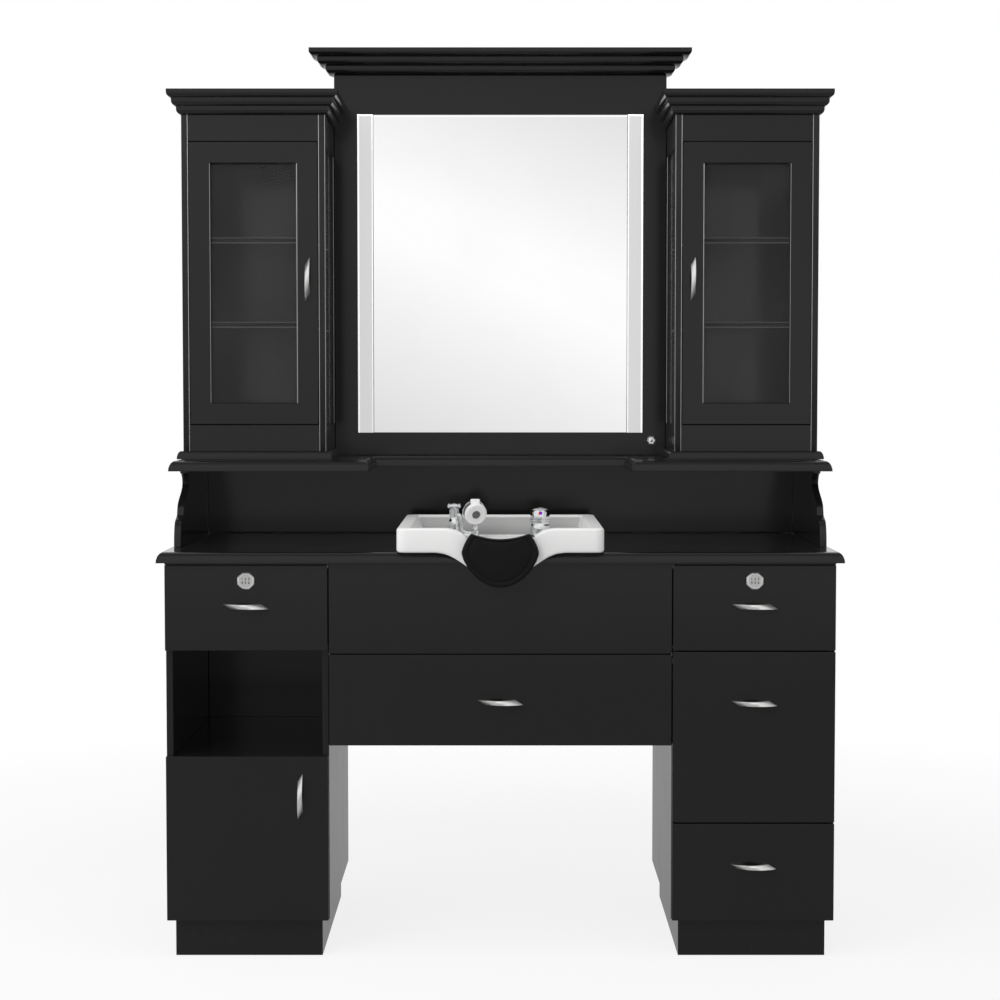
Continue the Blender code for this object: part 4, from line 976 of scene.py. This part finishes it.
# mixer: body and domed turning handle with a two-colour dot
mixerSizes = {
    "girth": 1.12, "dotRise": 0.0623, "dotReach": 0.0249,
    "body": ((0, 0), (0.0259, 0), (0.0259, 0.002), (0.0248, 0.0036), (0.0232, 0.006), (0.0225, 0.0088),
             (0.0225, 0.015), (0.0217, 0.0156), (0.0217, 0.0168), (0.0225, 0.0174), (0.0225, 0.0296),
             (0.0221, 0.0312), (0.0214, 0.033), (0.0212, 0.0345), (0.0212, 0.04), (0, 0.04)),
    "handle": ((0, 0), (0.0209, 0), (0.022, 0.0006), (0.0225, 0.0016), (0.0225, 0.004), (0.0219, 0.0046),
               (0.0219, 0.0056), (0.0225, 0.0062), (0.0225, 0.0236), (0.0221, 0.0262), (0.0208, 0.0288),
               (0.0186, 0.031), (0.015, 0.0328), (0.01, 0.0337), (0.0072, 0.0338), (0.0066, 0.0332),
               (0.0052, 0.0332), (0, 0.0335)),
    "dot": ((0, -0.003), (0.0046, -0.003), (0.0046, 0.0002), (0.0042, 0.0008), (0.003, 0.0012), (0, 0.0014)),
}


def makeMixer():
    size = mixerSizes
    x, y = middleOf("mixer_body").xy
    z, handleZ = (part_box(f"mixer_{part}")[0].z for part in ("body", "handle"))
    body, handle = ([(radius * size["girth"], height) for radius, height in size[part]]
                    for part in ("body", "handle"))
    addPiece("mixerBody", turned(body, (x, y, z), steps=64), "chrome", hides=["mixer_body"], crease=30.0)
    handle = turned(handle, (x, y, handleZ), steps=64)
    addPiece("mixerHandle", handle, "chrome", "mixer_handle", ["mixer_handle"], crease=30.0)
    dot = turned(size["dot"], (x, y - size["dotReach"], z + size["dotRise"]), "Y", steps=32)
    addPiece("mixerDot", dot, "white_plastic", "mixer_handle", finish="enamelDot", crease=30.0)


makeMixer()
print("taps made")


# lock plates: a raised plate on each octagon with two rows of plain digits
lockSizes = {
    "drawers": {"left": "leftLock", "right_top": "rightTopLock"}, "flats": 0.0295, "sides": 8, "proud": 0.0007,
    "chamfer": 0.0006, "rows": ("123", "456"), "digit": 0.008, "spacing": 0.0078, "rowGap": 0.0084,
    "cut": 0.0002, "bold": 0.00022, "weld": 0.000001,
}


def digitShape(text, x, y, z):
    size = lockSizes
    curve = bpy.data.curves.new("digit", "FONT")
    curve.body = text
    curve.size = size["digit"]
    curve.align_x = "CENTER"
    curve.align_y = "CENTER"
    curve.extrude = size["cut"]
    curve.offset = size["bold"]
    writer = bpy.data.objects.new("digit", curve)
    scene.collection.objects.link(writer)
    data = bpy.data.meshes.new_from_object(writer.evaluated_get(bpy.context.evaluated_depsgraph_get()))
    bpy.data.objects.remove(writer)
    bpy.data.curves.remove(curve)
    shape = bmesh.new()
    shape.from_mesh(data)
    bpy.data.meshes.remove(data)
    place = Matrix.Translation((x, y, z)) @ Matrix.Rotation(math.pi / 2, 4, "X")
    bmesh.ops.transform(shape, matrix=place, verts=list(shape.verts))
    bmesh.ops.remove_doubles(shape, verts=list(shape.verts), dist=size["weld"])
    return shape


def makeLocks():
    size = lockSizes
    for drawer, name in size["drawers"].items():
        lock = f"{drawer}_lock"
        x, z = middleOf(f"{drawer}_drawer_front").x, middleOf(lock).z
        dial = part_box(lock)[0].y
        face = dial - size["proud"]
        rings = []
        for shrink, y in ((0.0, dial), (0.0, face + size["chamfer"]), (size["chamfer"], face)):
            outline = polygon(x, z, size["flats"] - 2 * shrink, size["sides"])
            rings.append([(a, y, b) for a, b in outline])
        addPiece(f"{name}Plate", loft(rings), "satin_nickel", lock, finish="dialNickel", crease=10.0)
        digits = []
        for row, line in enumerate(size["rows"]):
            rise = (0.5 - row) * size["rowGap"]
            for index, text in enumerate(line):
                across = (index - (len(line) - 1) / 2) * size["spacing"]
                digits.append(digitShape(text, x + across, face, z + rise))
        addPiece(f"{name}Digits", joined(digits), "black_rubber", lock, finish="printAndShadeBlack")


makeLocks()


# dimmer: a round cap on the hexagon with a groove
dimmerSizes = {
    "cap": ((0, -0.0005), (0.0078, -0.0005), (0.0078, 0.0006), (0.007, 0.0014), (0.0052, 0.0014),
            (0.0048, 0.0006), (0.0042, 0.0006), (0.0038, 0.0016), (0.0022, 0.0022), (0, 0.0024)),
}
dimmerPlace = middleOf("dimmer_knob")
dimmerPlace.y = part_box("dimmer_knob")[0].y
dimmerCap = turned(dimmerSizes["cap"], dimmerPlace, "Y", steps=36)
addPiece("dimmerCap", dimmerCap, "chrome", "dimmer_knob", crease=25.0)
print("locks and dimmer made")


# mirror with a bevelled top edge, white glowing strips round each light bar as painted highlights on the bar's
# edges, and a black strip between bar and mirror as painted shadow in the gap
mirrorSizes = {
    "topBevel": 0.0062, "edge": 0.0006, "bevelDepth": 0.001, "trim": 0.0042, "innerTrim": 0.0026,
    "trimProud": 0.0004, "joint": 0.0016, "jointProud": 0.0003, "sunk": 0.001, "round": 0.0003,
}


def makeMirror():
    size = mirrorSizes
    low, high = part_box("mirror")
    bevel = low.y + size["bevelDepth"]
    rings = []
    for inset, top, y in ((0.0, 0.0, high.y), (0.0, 0.0, bevel), (size["edge"], size["topBevel"], low.y)):
        left, right, bottom = low.x + inset, high.x - inset, low.z + inset
        rings.append([(left, y, bottom), (right, y, bottom), (right, y, high.z - top), (left, y, high.z - top)])
    addPiece("mirrorPlate", loft(rings), "mirror_silver", hides=["mirror"], crease=3.0)
    near, far = low.y - size["jointProud"], low.y + size["sunk"]
    for side, name in bothSides:
        low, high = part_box(f"{name}_light_bar")
        outer, inner = (low.x, high.x) if side < 0 else (high.x, low.x)
        front, rear = low.y - size["trimProud"], low.y + size["sunk"]
        # white glowing strips round the bar: painted highlights on its edges
        strips = [slab((low.x, front, high.z - size["trim"]), (high.x, rear, high.z), size["round"],
                       segments=2)]
        for x, reach in ((outer, outer - side * size["trim"]), (inner, inner + side * size["innerTrim"])):
            strips.append(slab((x, front, low.z), (reach, rear, high.z), size["round"], segments=2))
        addPiece(f"{name}BarEdgeHighlight", joined(strips), "opal_acrylic", finish="paintedHighlightEdge")
        # a black strip in the recessed gap between bar and mirror: painted shadow
        joint = slab((inner, near, low.z), (inner - side * size["joint"], far, high.z), size["round"],
                     segments=2)
        addPiece(f"{name}MirrorShadowStrip", joint, "black_rubber", finish="printAndShadeBlack")


makeMirror()
print("mirror made")


# hinge cups on the doors, with their plates on the case sides
# (arm: outward, inward, depth, half height; plate: thickness, length, half height)
hingeSizes = {
    "cup": ((0, 0.0), (0.0125, 0.0), (0.013, 0.0012), (0.016, 0.0016), (0.0168, 0.001), (0.017, -0.0004),
            (0, -0.0004)),
    "arm": (0.012, 0.004, 0.0075, 0.0065), "armEdge": 0.0015, "plate": (0.0018, 0.032, 0.02),
    "plateEdge": 0.0007, "plateBack": 0.02,
    "screw": ((0, 0.0), (0.0034, 0.0), (0.003, 0.0009), (0.0018, 0.0014), (0, 0.0015)), "screwGap": 0.0115,
}
hingePlaces = {  # body: (side, rear face of the door, cup's X, inner face of the side board, heights)
    "left_door": (-1, 0.036, -0.7445, -0.7665, (1.345, 1.842)),
    "right_door": (1, 0.036, 0.7445, 0.7665, (1.345, 1.842)),
    "lower_door": (-1, -0.2895, -0.7455, -0.7665, (0.165, 0.400)),
}


def makeHinges():
    size = hingeSizes
    outward, inward, deep, tall = size["arm"]
    thick, long, half = size["plate"]
    for body, (side, rear, cupX, board, heights) in hingePlaces.items():
        cups, plates = [], []
        inner, front = board - side * thick, rear + size["plateBack"]
        for z in heights:
            cups.append(turned(size["cup"], (cupX, rear, z), "Y", steps=36, facing=-1))
            corner = (cupX + side * outward, rear, z - tall)
            opposite = (cupX - side * inward, rear + deep, z + tall)
            cups.append(slab(corner, opposite, size["armEdge"]))
            plates.append(slab((board, front, z - half), (inner, front + long, z + half), size["plateEdge"],
                               segments=2))
            for step in (-1, 1):
                place = (inner, front + long / 2, z + step * size["screwGap"])
                plates.append(turned(size["screw"], place, "X", steps=20, facing=-side))
        addPiece(f"hingeCups{titled(body)}", joined(cups), "satin_nickel", body, crease=30.0)
        addPiece(f"hingePlates{titled(body)}", joined(plates), "satin_nickel", crease=30.0)


makeHinges()


# shelf pins on the outer side boards and clips on the side windows, under the shelves
pinSizes = {
    "pin": ((0, 0), (0.0042, 0), (0.0042, 0.0012), (0.0025, 0.0016), (0.0025, 0.0075), (0.0018, 0.0082),
            (0, 0.0082)),
    "pinDrop": 0.0042, "sideFace": 0.7665, "depths": (0.07, 0.3), "gap": 0.0003, "clip": (0.0145, 0.01, 0.005),
    "clipEdge": 0.0012, "glassFace": 0.4406, "clipDepths": (0.075, 0.255),
}


def makeShelfPins():
    size = pinSizes
    long, wide, tall = size["clip"]
    for side, name in bothSides:
        shapes = []
        near, far = side * size["glassFace"], side * (size["glassFace"] + long)
        for level in ("lower", "upper"):
            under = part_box(f"{name}_{level}_shelf")[0].z - size["gap"]
            for y in size["depths"]:
                place = (side * size["sideFace"], y, under - size["pinDrop"])
                shapes.append(turned(size["pin"], place, "X", steps=20, facing=-side))
            for y in size["clipDepths"]:
                shapes.append(slab((near, y - wide / 2, under - tall), (far, y + wide / 2, under),
                                   size["clipEdge"]))
        addPiece(f"{name}ShelfPins", joined(shapes), "satin_nickel", crease=30.0)


makeShelfPins()
print("hinges and shelf pins made")


# screw heads on the hutch's back
screwSizes = {
    "head": ((0, 0.0), (0.0042, 0.0), (0.004, 0.0004), (0.003, 0.0007), (0, 0.0008)), "wall": 0.365,
    "columns": (-0.7, -0.5, -0.36, 0.36, 0.5, 0.7), "rows": (1.22, 1.48, 1.74, 1.98),
}


def makeBackScrews():
    size = screwSizes
    places = [(x, size["wall"], z) for x in size["columns"] for z in size["rows"]]
    shapes = [turned(size["head"], place, "Y", steps=20, facing=-1) for place in places]
    addPiece("backScrews", joined(shapes), "satin_nickel", crease=30.0)


makeBackScrews()


# board edges: the cabinets' side boards stand a little proud, a rail closes the slot over the centre drawer,
# battens cover the joints at the pedestals' backs
edgeSizes = {
    "caseInner": 0.4305, "caseOuter": 0.7825, "board": 0.016, "caseFront": 0.018, "proud": 0.0007,
    "sunk": 0.0006, "caseFrom": 1.1813, "caseTo": 2.0058, "edge": 0.0006, "railHalf": 0.4008,
    "rail": ((-0.2884, 0.705), (-0.2764, 0.73)), "railEdge": 0.001, "battens": (0.7665, 0.4175),
    "battenHalf": 0.011, "batten": ((0.3403, 0.1), (0.3443, 0.905)),
}


def makeBoardEdges():
    size = edgeSizes
    near, far = size["caseFront"] - size["proud"], size["caseFront"] + size["sunk"]
    half, edge = size["battenHalf"], size["railEdge"]
    stiles, battens = [], []
    for side in (-1, 1):
        for x in (size["caseInner"], size["caseOuter"] - size["board"]):
            corner = (side * x, near, size["caseFrom"])
            opposite = (side * (x + size["board"]), far, size["caseTo"])
            stiles.append(slab(corner, opposite, size["edge"]))
        for x in size["battens"]:
            corner, opposite = size["batten"]
            battens.append(slab((side * x - half, *corner), (side * x + half, *opposite), edge))
    addPiece("caseStiles", joined(stiles), "black_lacquer")
    corner, opposite = size["rail"]
    rail = slab((-size["railHalf"], *corner), (size["railHalf"], *opposite), edge)
    addPiece("slotRail", rail, "black_lacquer")
    addPiece("backBattens", joined(battens), "black_lacquer")


makeBoardEdges()


# rails across each pedestal under the counter: the front one stops either side of the lock's cam,
# and a strip closes the gap over the drawer's front
railSizes = {
    "inner": 0.4182, "outer": 0.7658, "bottom": 0.913, "top": 0.9305, "front": (-0.2885, -0.28),
    "rear": (-0.2796, -0.269), "before": 0.014, "after": 0.05, "edge": 0.0008,
    "fronts": ("left_drawer_front", "right_top_drawer_front"), "stripBack": 0.0014, "stripGap": 0.0007,
    "stripTop": 0.9307,
}


def makeFrontRails():
    size = railSizes
    shapes = []
    for side, front in zip((-1, 1), size["fronts"]):
        left, right = sorted((side * size["inner"], side * size["outer"]))
        cam = middleOf(front).x
        runs = [(left, cam - size["before"], size["front"]), (cam + size["after"], right, size["front"]),
                (left, right, size["rear"])]
        for start, end, (near, far) in runs:
            shapes.append(slab((start, near, size["bottom"]), (end, far, size["top"]), size["edge"],
                               segments=2))
    for front in size["fronts"]:
        low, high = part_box(front)
        bottom, far = high.z + size["stripGap"], high.y - size["stripGap"]
        shapes.append(slab((low.x, low.y + size["stripBack"], bottom), (high.x, far, size["stripTop"]),
                           size["edge"], segments=2))
    addPiece("frontRails", joined(shapes), "black_lacquer")


makeFrontRails()


# coves: black sealant along the foot of the backsplash, lacquered beads up the rear corners of the cubby
coveSizes = {
    "half": 0.7655, "face": 0.3488, "counter": 0.9562, "leg": 0.0032, "steps": 5,
    "cubbySides": ((-0.7668, 1), (-0.4172, -1)), "cubbyBack": 0.3323, "cubbyZ": (0.474, 0.7248),
    "cubbyLeg": 0.0028,
}


def coveOutline(leg):  # from the corner, along both legs
    turns = quarter(coveSizes["steps"])
    return [(0.0, 0.0)] + [(leg * (1 - math.sin(turn)), leg * (1 - math.cos(turn))) for turn in turns]


def makeCoves():
    size = coveSizes
    outline = coveOutline(size["leg"])
    ends = (-size["half"], size["half"])
    seal = loft([[(x, size["face"] - near, size["counter"] + up) for near, up in outline] for x in ends])
    addPiece("splashSeal", seal, "black_rubber")
    outline = coveOutline(size["cubbyLeg"])
    beads = []
    for corner, inward in size["cubbySides"]:
        plan = [(corner + inward * across, size["cubbyBack"] - near) for across, near in outline]
        beads.append(loft([[(x, y, z) for x, y in plan] for z in size["cubbyZ"]]))
    addPiece("cubbyBeads", joined(beads), "black_lacquer")


makeCoves()
print("board edges made")


# pale strips as painted highlights: full-height lines on the cabinets' stiles, lines beside the panes and in
# the side windows, standing in for the highlights on the board edges
highlightBandSizes = {
    "stiles": ((0.7666, 0.768), (0.445, 0.4464), (0.4302, 0.4313)), "stileY": (0.0169, 0.0184),
    "stileZ": (1.1815, 2.0056), "windows": ((0.4303, 0.4316), (0.4428, 0.4446)), "windowY": (0.2894, 0.2906),
    "windowZ": (1.2455, 1.9295), "panes": ((0.7131, 0.714), (0.4992, 0.5009)), "paneY": (0.0176, 0.0188),
    "paneZ": (1.2998, 1.8872), "edge": 0.0002,
}


def highlightBandShapes(side, places, kind):
    near, far = highlightBandSizes[f"{kind}Y"]
    bottom, top = highlightBandSizes[f"{kind}Z"]
    return [slab((side * start, near, bottom), (side * end, far, top), highlightBandSizes["edge"], segments=2)
            for start, end in places]


def makeHighlightBands():
    size = highlightBandSizes
    for side, name in bothSides:
        fixed = highlightBandShapes(side, size["stiles"], "stile") + highlightBandShapes(side, size["windows"], "window")
        # pale strips: painted highlights on the stile, window and pane edges
        addPiece(f"{name}CaseHighlightBands", joined(fixed), "satin_nickel", finish="paintedHighlightBand")
        beads = highlightBandShapes(side, size["panes"], "pane")
        addPiece(f"{name}DoorHighlightBands", joined(beads), "satin_nickel", f"{name}_door", finish="paintedHighlightBand")


makeHighlightBands()


# front edges of the cabinet shelves: a black insert between two pale lip strips, painted highlights on the
# front edge's top and bottom corners
lipHighlightSizes = {
    "top": 0.0016, "bottom": 0.0024, "over": 0.0002, "proud": 0.0008, "sunk": 0.0004, "insert": 0.0003,
    "inset": 0.001, "edge": 0.0003,
}


def makeShelfLipHighlights():
    size = lipHighlightSizes
    for _, name in bothSides:
        lipHighlights, inserts = [], []
        for level in ("lower", "upper"):
            low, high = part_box(f"{name}_{level}_shelf")
            left, right, far = low.x + size["inset"], high.x - size["inset"], low.y + size["sunk"]
            under, over = low.z + size["bottom"], high.z - size["top"]
            for bottom, top in ((low.z - size["over"], under), (over, high.z + size["over"])):
                lipHighlights.append(slab((left, low.y - size["proud"], bottom), (right, far, top), size["edge"],
                                 segments=2))
            inserts.append(slab((left, low.y - size["insert"], under), (right, far, over)))
        # pale lip strips: painted highlights along the shelf's front corners
        addPiece(f"{name}ShelfLipHighlights", joined(lipHighlights), "satin_nickel", finish="paintedHighlightLip")
        addPiece(f"{name}ShelfInserts", joined(inserts), "black_rubber")


makeShelfLipHighlights()
print("edge bands made")


# studio: white surround, soft lamps, a pale floor that keeps the shadow
studioLook = {
    "ambient": 0.45, "band": (0.72, 1.0), "bandTop": 1.03, "bandSlope": 2.93, "bandMiddle": 0.0567,
    "bandLean": 0.41, "high": 1.0, "highFrom": (0.16, 0.26), "top": 0.4, "topFrom": (0.75, 0.92), "side": 0.88,
    "sideFrom": (0.34, 0.44), "right": 0.65, "rightFrom": (0.5, 0.7), "rear": 1.0, "rearFrom": (-0.05, 0.05),
    "floor": 0.8, "floorPale": 0.85, "floorNoise": (3.0, 3.0), "floorWhite": 0.84, "floorFade": (1.3, 3.2),
    "floorGloss": 0.45, "floorGlossFade": (6.0, 14.0), "floorReach": 40.0, "floorSink": 0.0005,
}
lampSetup = {  # place, aim, size, watts
    "keyLamp": ((-2.4, -3.6, 3.6), (0.0, 0.0, 1.1), (2.4, 2.4), 84.0),
    "fillLamp": ((2.8, -3.4, 2.6), (0.0, 0.0, 1.0), (2.0, 2.0), 7.0),
    "topLamp": ((0.0, -0.9, 3.4), (0.0, -0.3, 1.0), (2.6, 1.4), 26.0),
    "leftLamp": ((-3.0, -0.9, 1.5), (0.0, -0.1, 1.0), (1.2, 1.2), 20.0),
    "rightLamp": ((3.0, -0.9, 1.5), (0.0, -0.1, 1.0), (1.2, 1.2), 4.0),
}


def raySwitches(graph):
    kinds = ("Camera", "Glossy", "Transmission")
    return [graph.node("ShaderNodeLightPath", out=f"Is {kind} Ray") for kind in kinds]


def makeWorld():
    look = studioLook
    world = bpy.data.worlds.new("studio")
    scene.world = world
    graph = Graph(world)
    direction = graph.node("ShaderNodeTexCoord", out="Generated")
    x, y, z = (graph.axis(direction, name) for name in ("X", "Y", "Z"))
    lean = abs((z - look["bandMiddle"]) + x * look["bandLean"])
    level = (look["bandTop"] - lean * look["bandSlope"]).least(look["band"][1]).most(look["band"][0])
    for axis, name in ((z, "high"), (z, "top"), (abs(x), "side"), (x, "right"), (y, "rear")):
        share = graph.spread(axis, *look[f"{name}From"])
        level = level * (1 - share) + share * look[name]
    camera, glossy, through = raySwitches(graph)
    clear = camera.most(through)
    level = glossy * level + (1 - glossy) * look["ambient"]
    shader = graph.node("ShaderNodeBackground", sockets={"Color": clear + (1 - clear) * level, "Strength": 1.0})
    graph.node("ShaderNodeOutputWorld", sockets={"Surface": shader})


def makeLamps():
    for name, (place, aim, (width, height), watts) in lampSetup.items():
        data = bpy.data.lights.new(name, "AREA")
        data.shape = "RECTANGLE"
        data.size = width
        data.size_y = height
        data.energy = watts
        lamp = bpy.data.objects.new(name, data)
        lamp.location = place
        lamp.rotation_euler = (Vector(aim) - Vector(place)).to_track_quat("-Z", "Y").to_euler()
        lamp.visible_camera = False
        lamp.visible_glossy = False
        scene.collection.objects.link(lamp)


def makeFloor():
    look = studioLook
    reach = look["floorReach"]
    corners = [(-reach, -reach, 0), (reach, -reach, 0), (reach, reach, 0), (-reach, reach, 0)]
    data = bpy.data.meshes.new("studioFloor")
    data.from_pydata(corners, [], [(0, 1, 2, 3)])
    floor = bpy.data.objects.new("studioFloor", data)
    floor.location.z = -look["floorSink"]
    scene.collection.objects.link(floor)
    material, graph = newFinish("studioFloor")
    tone = graph.blend(graph.noise(*look["floorNoise"]), grey(look["floor"]), grey(look["floorPale"]))
    paint = graph.node("ShaderNodeBsdfDiffuse", sockets={"Color": tone})
    distance = graph.node("ShaderNodeVectorMath", {"operation": "LENGTH"}, {0: graph.point()}, "Value")
    camera, glossy, through = raySwitches(graph)
    dim = glossy * graph.spread(distance, *look["floorGlossFade"], 1.0, 0.0)
    glow = graph.blend(dim, grey(1.0), grey(look["floorGloss"]))
    white = graph.node("ShaderNodeEmission", sockets={"Color": glow, "Strength": 1.0})
    plain = graph.spread(distance, *look["floorFade"], look["floorWhite"], 1.0)
    share = camera.most(through) * plain + glossy * look["floorWhite"]
    mixed = graph.node("ShaderNodeMixShader", sockets={0: share, 1: paint, 2: white})
    graph.node("ShaderNodeOutputMaterial", sockets={"Surface": mixed})
    data.materials.append(material)


makeWorld()
makeLamps()
makeFloor()
print("studio made")
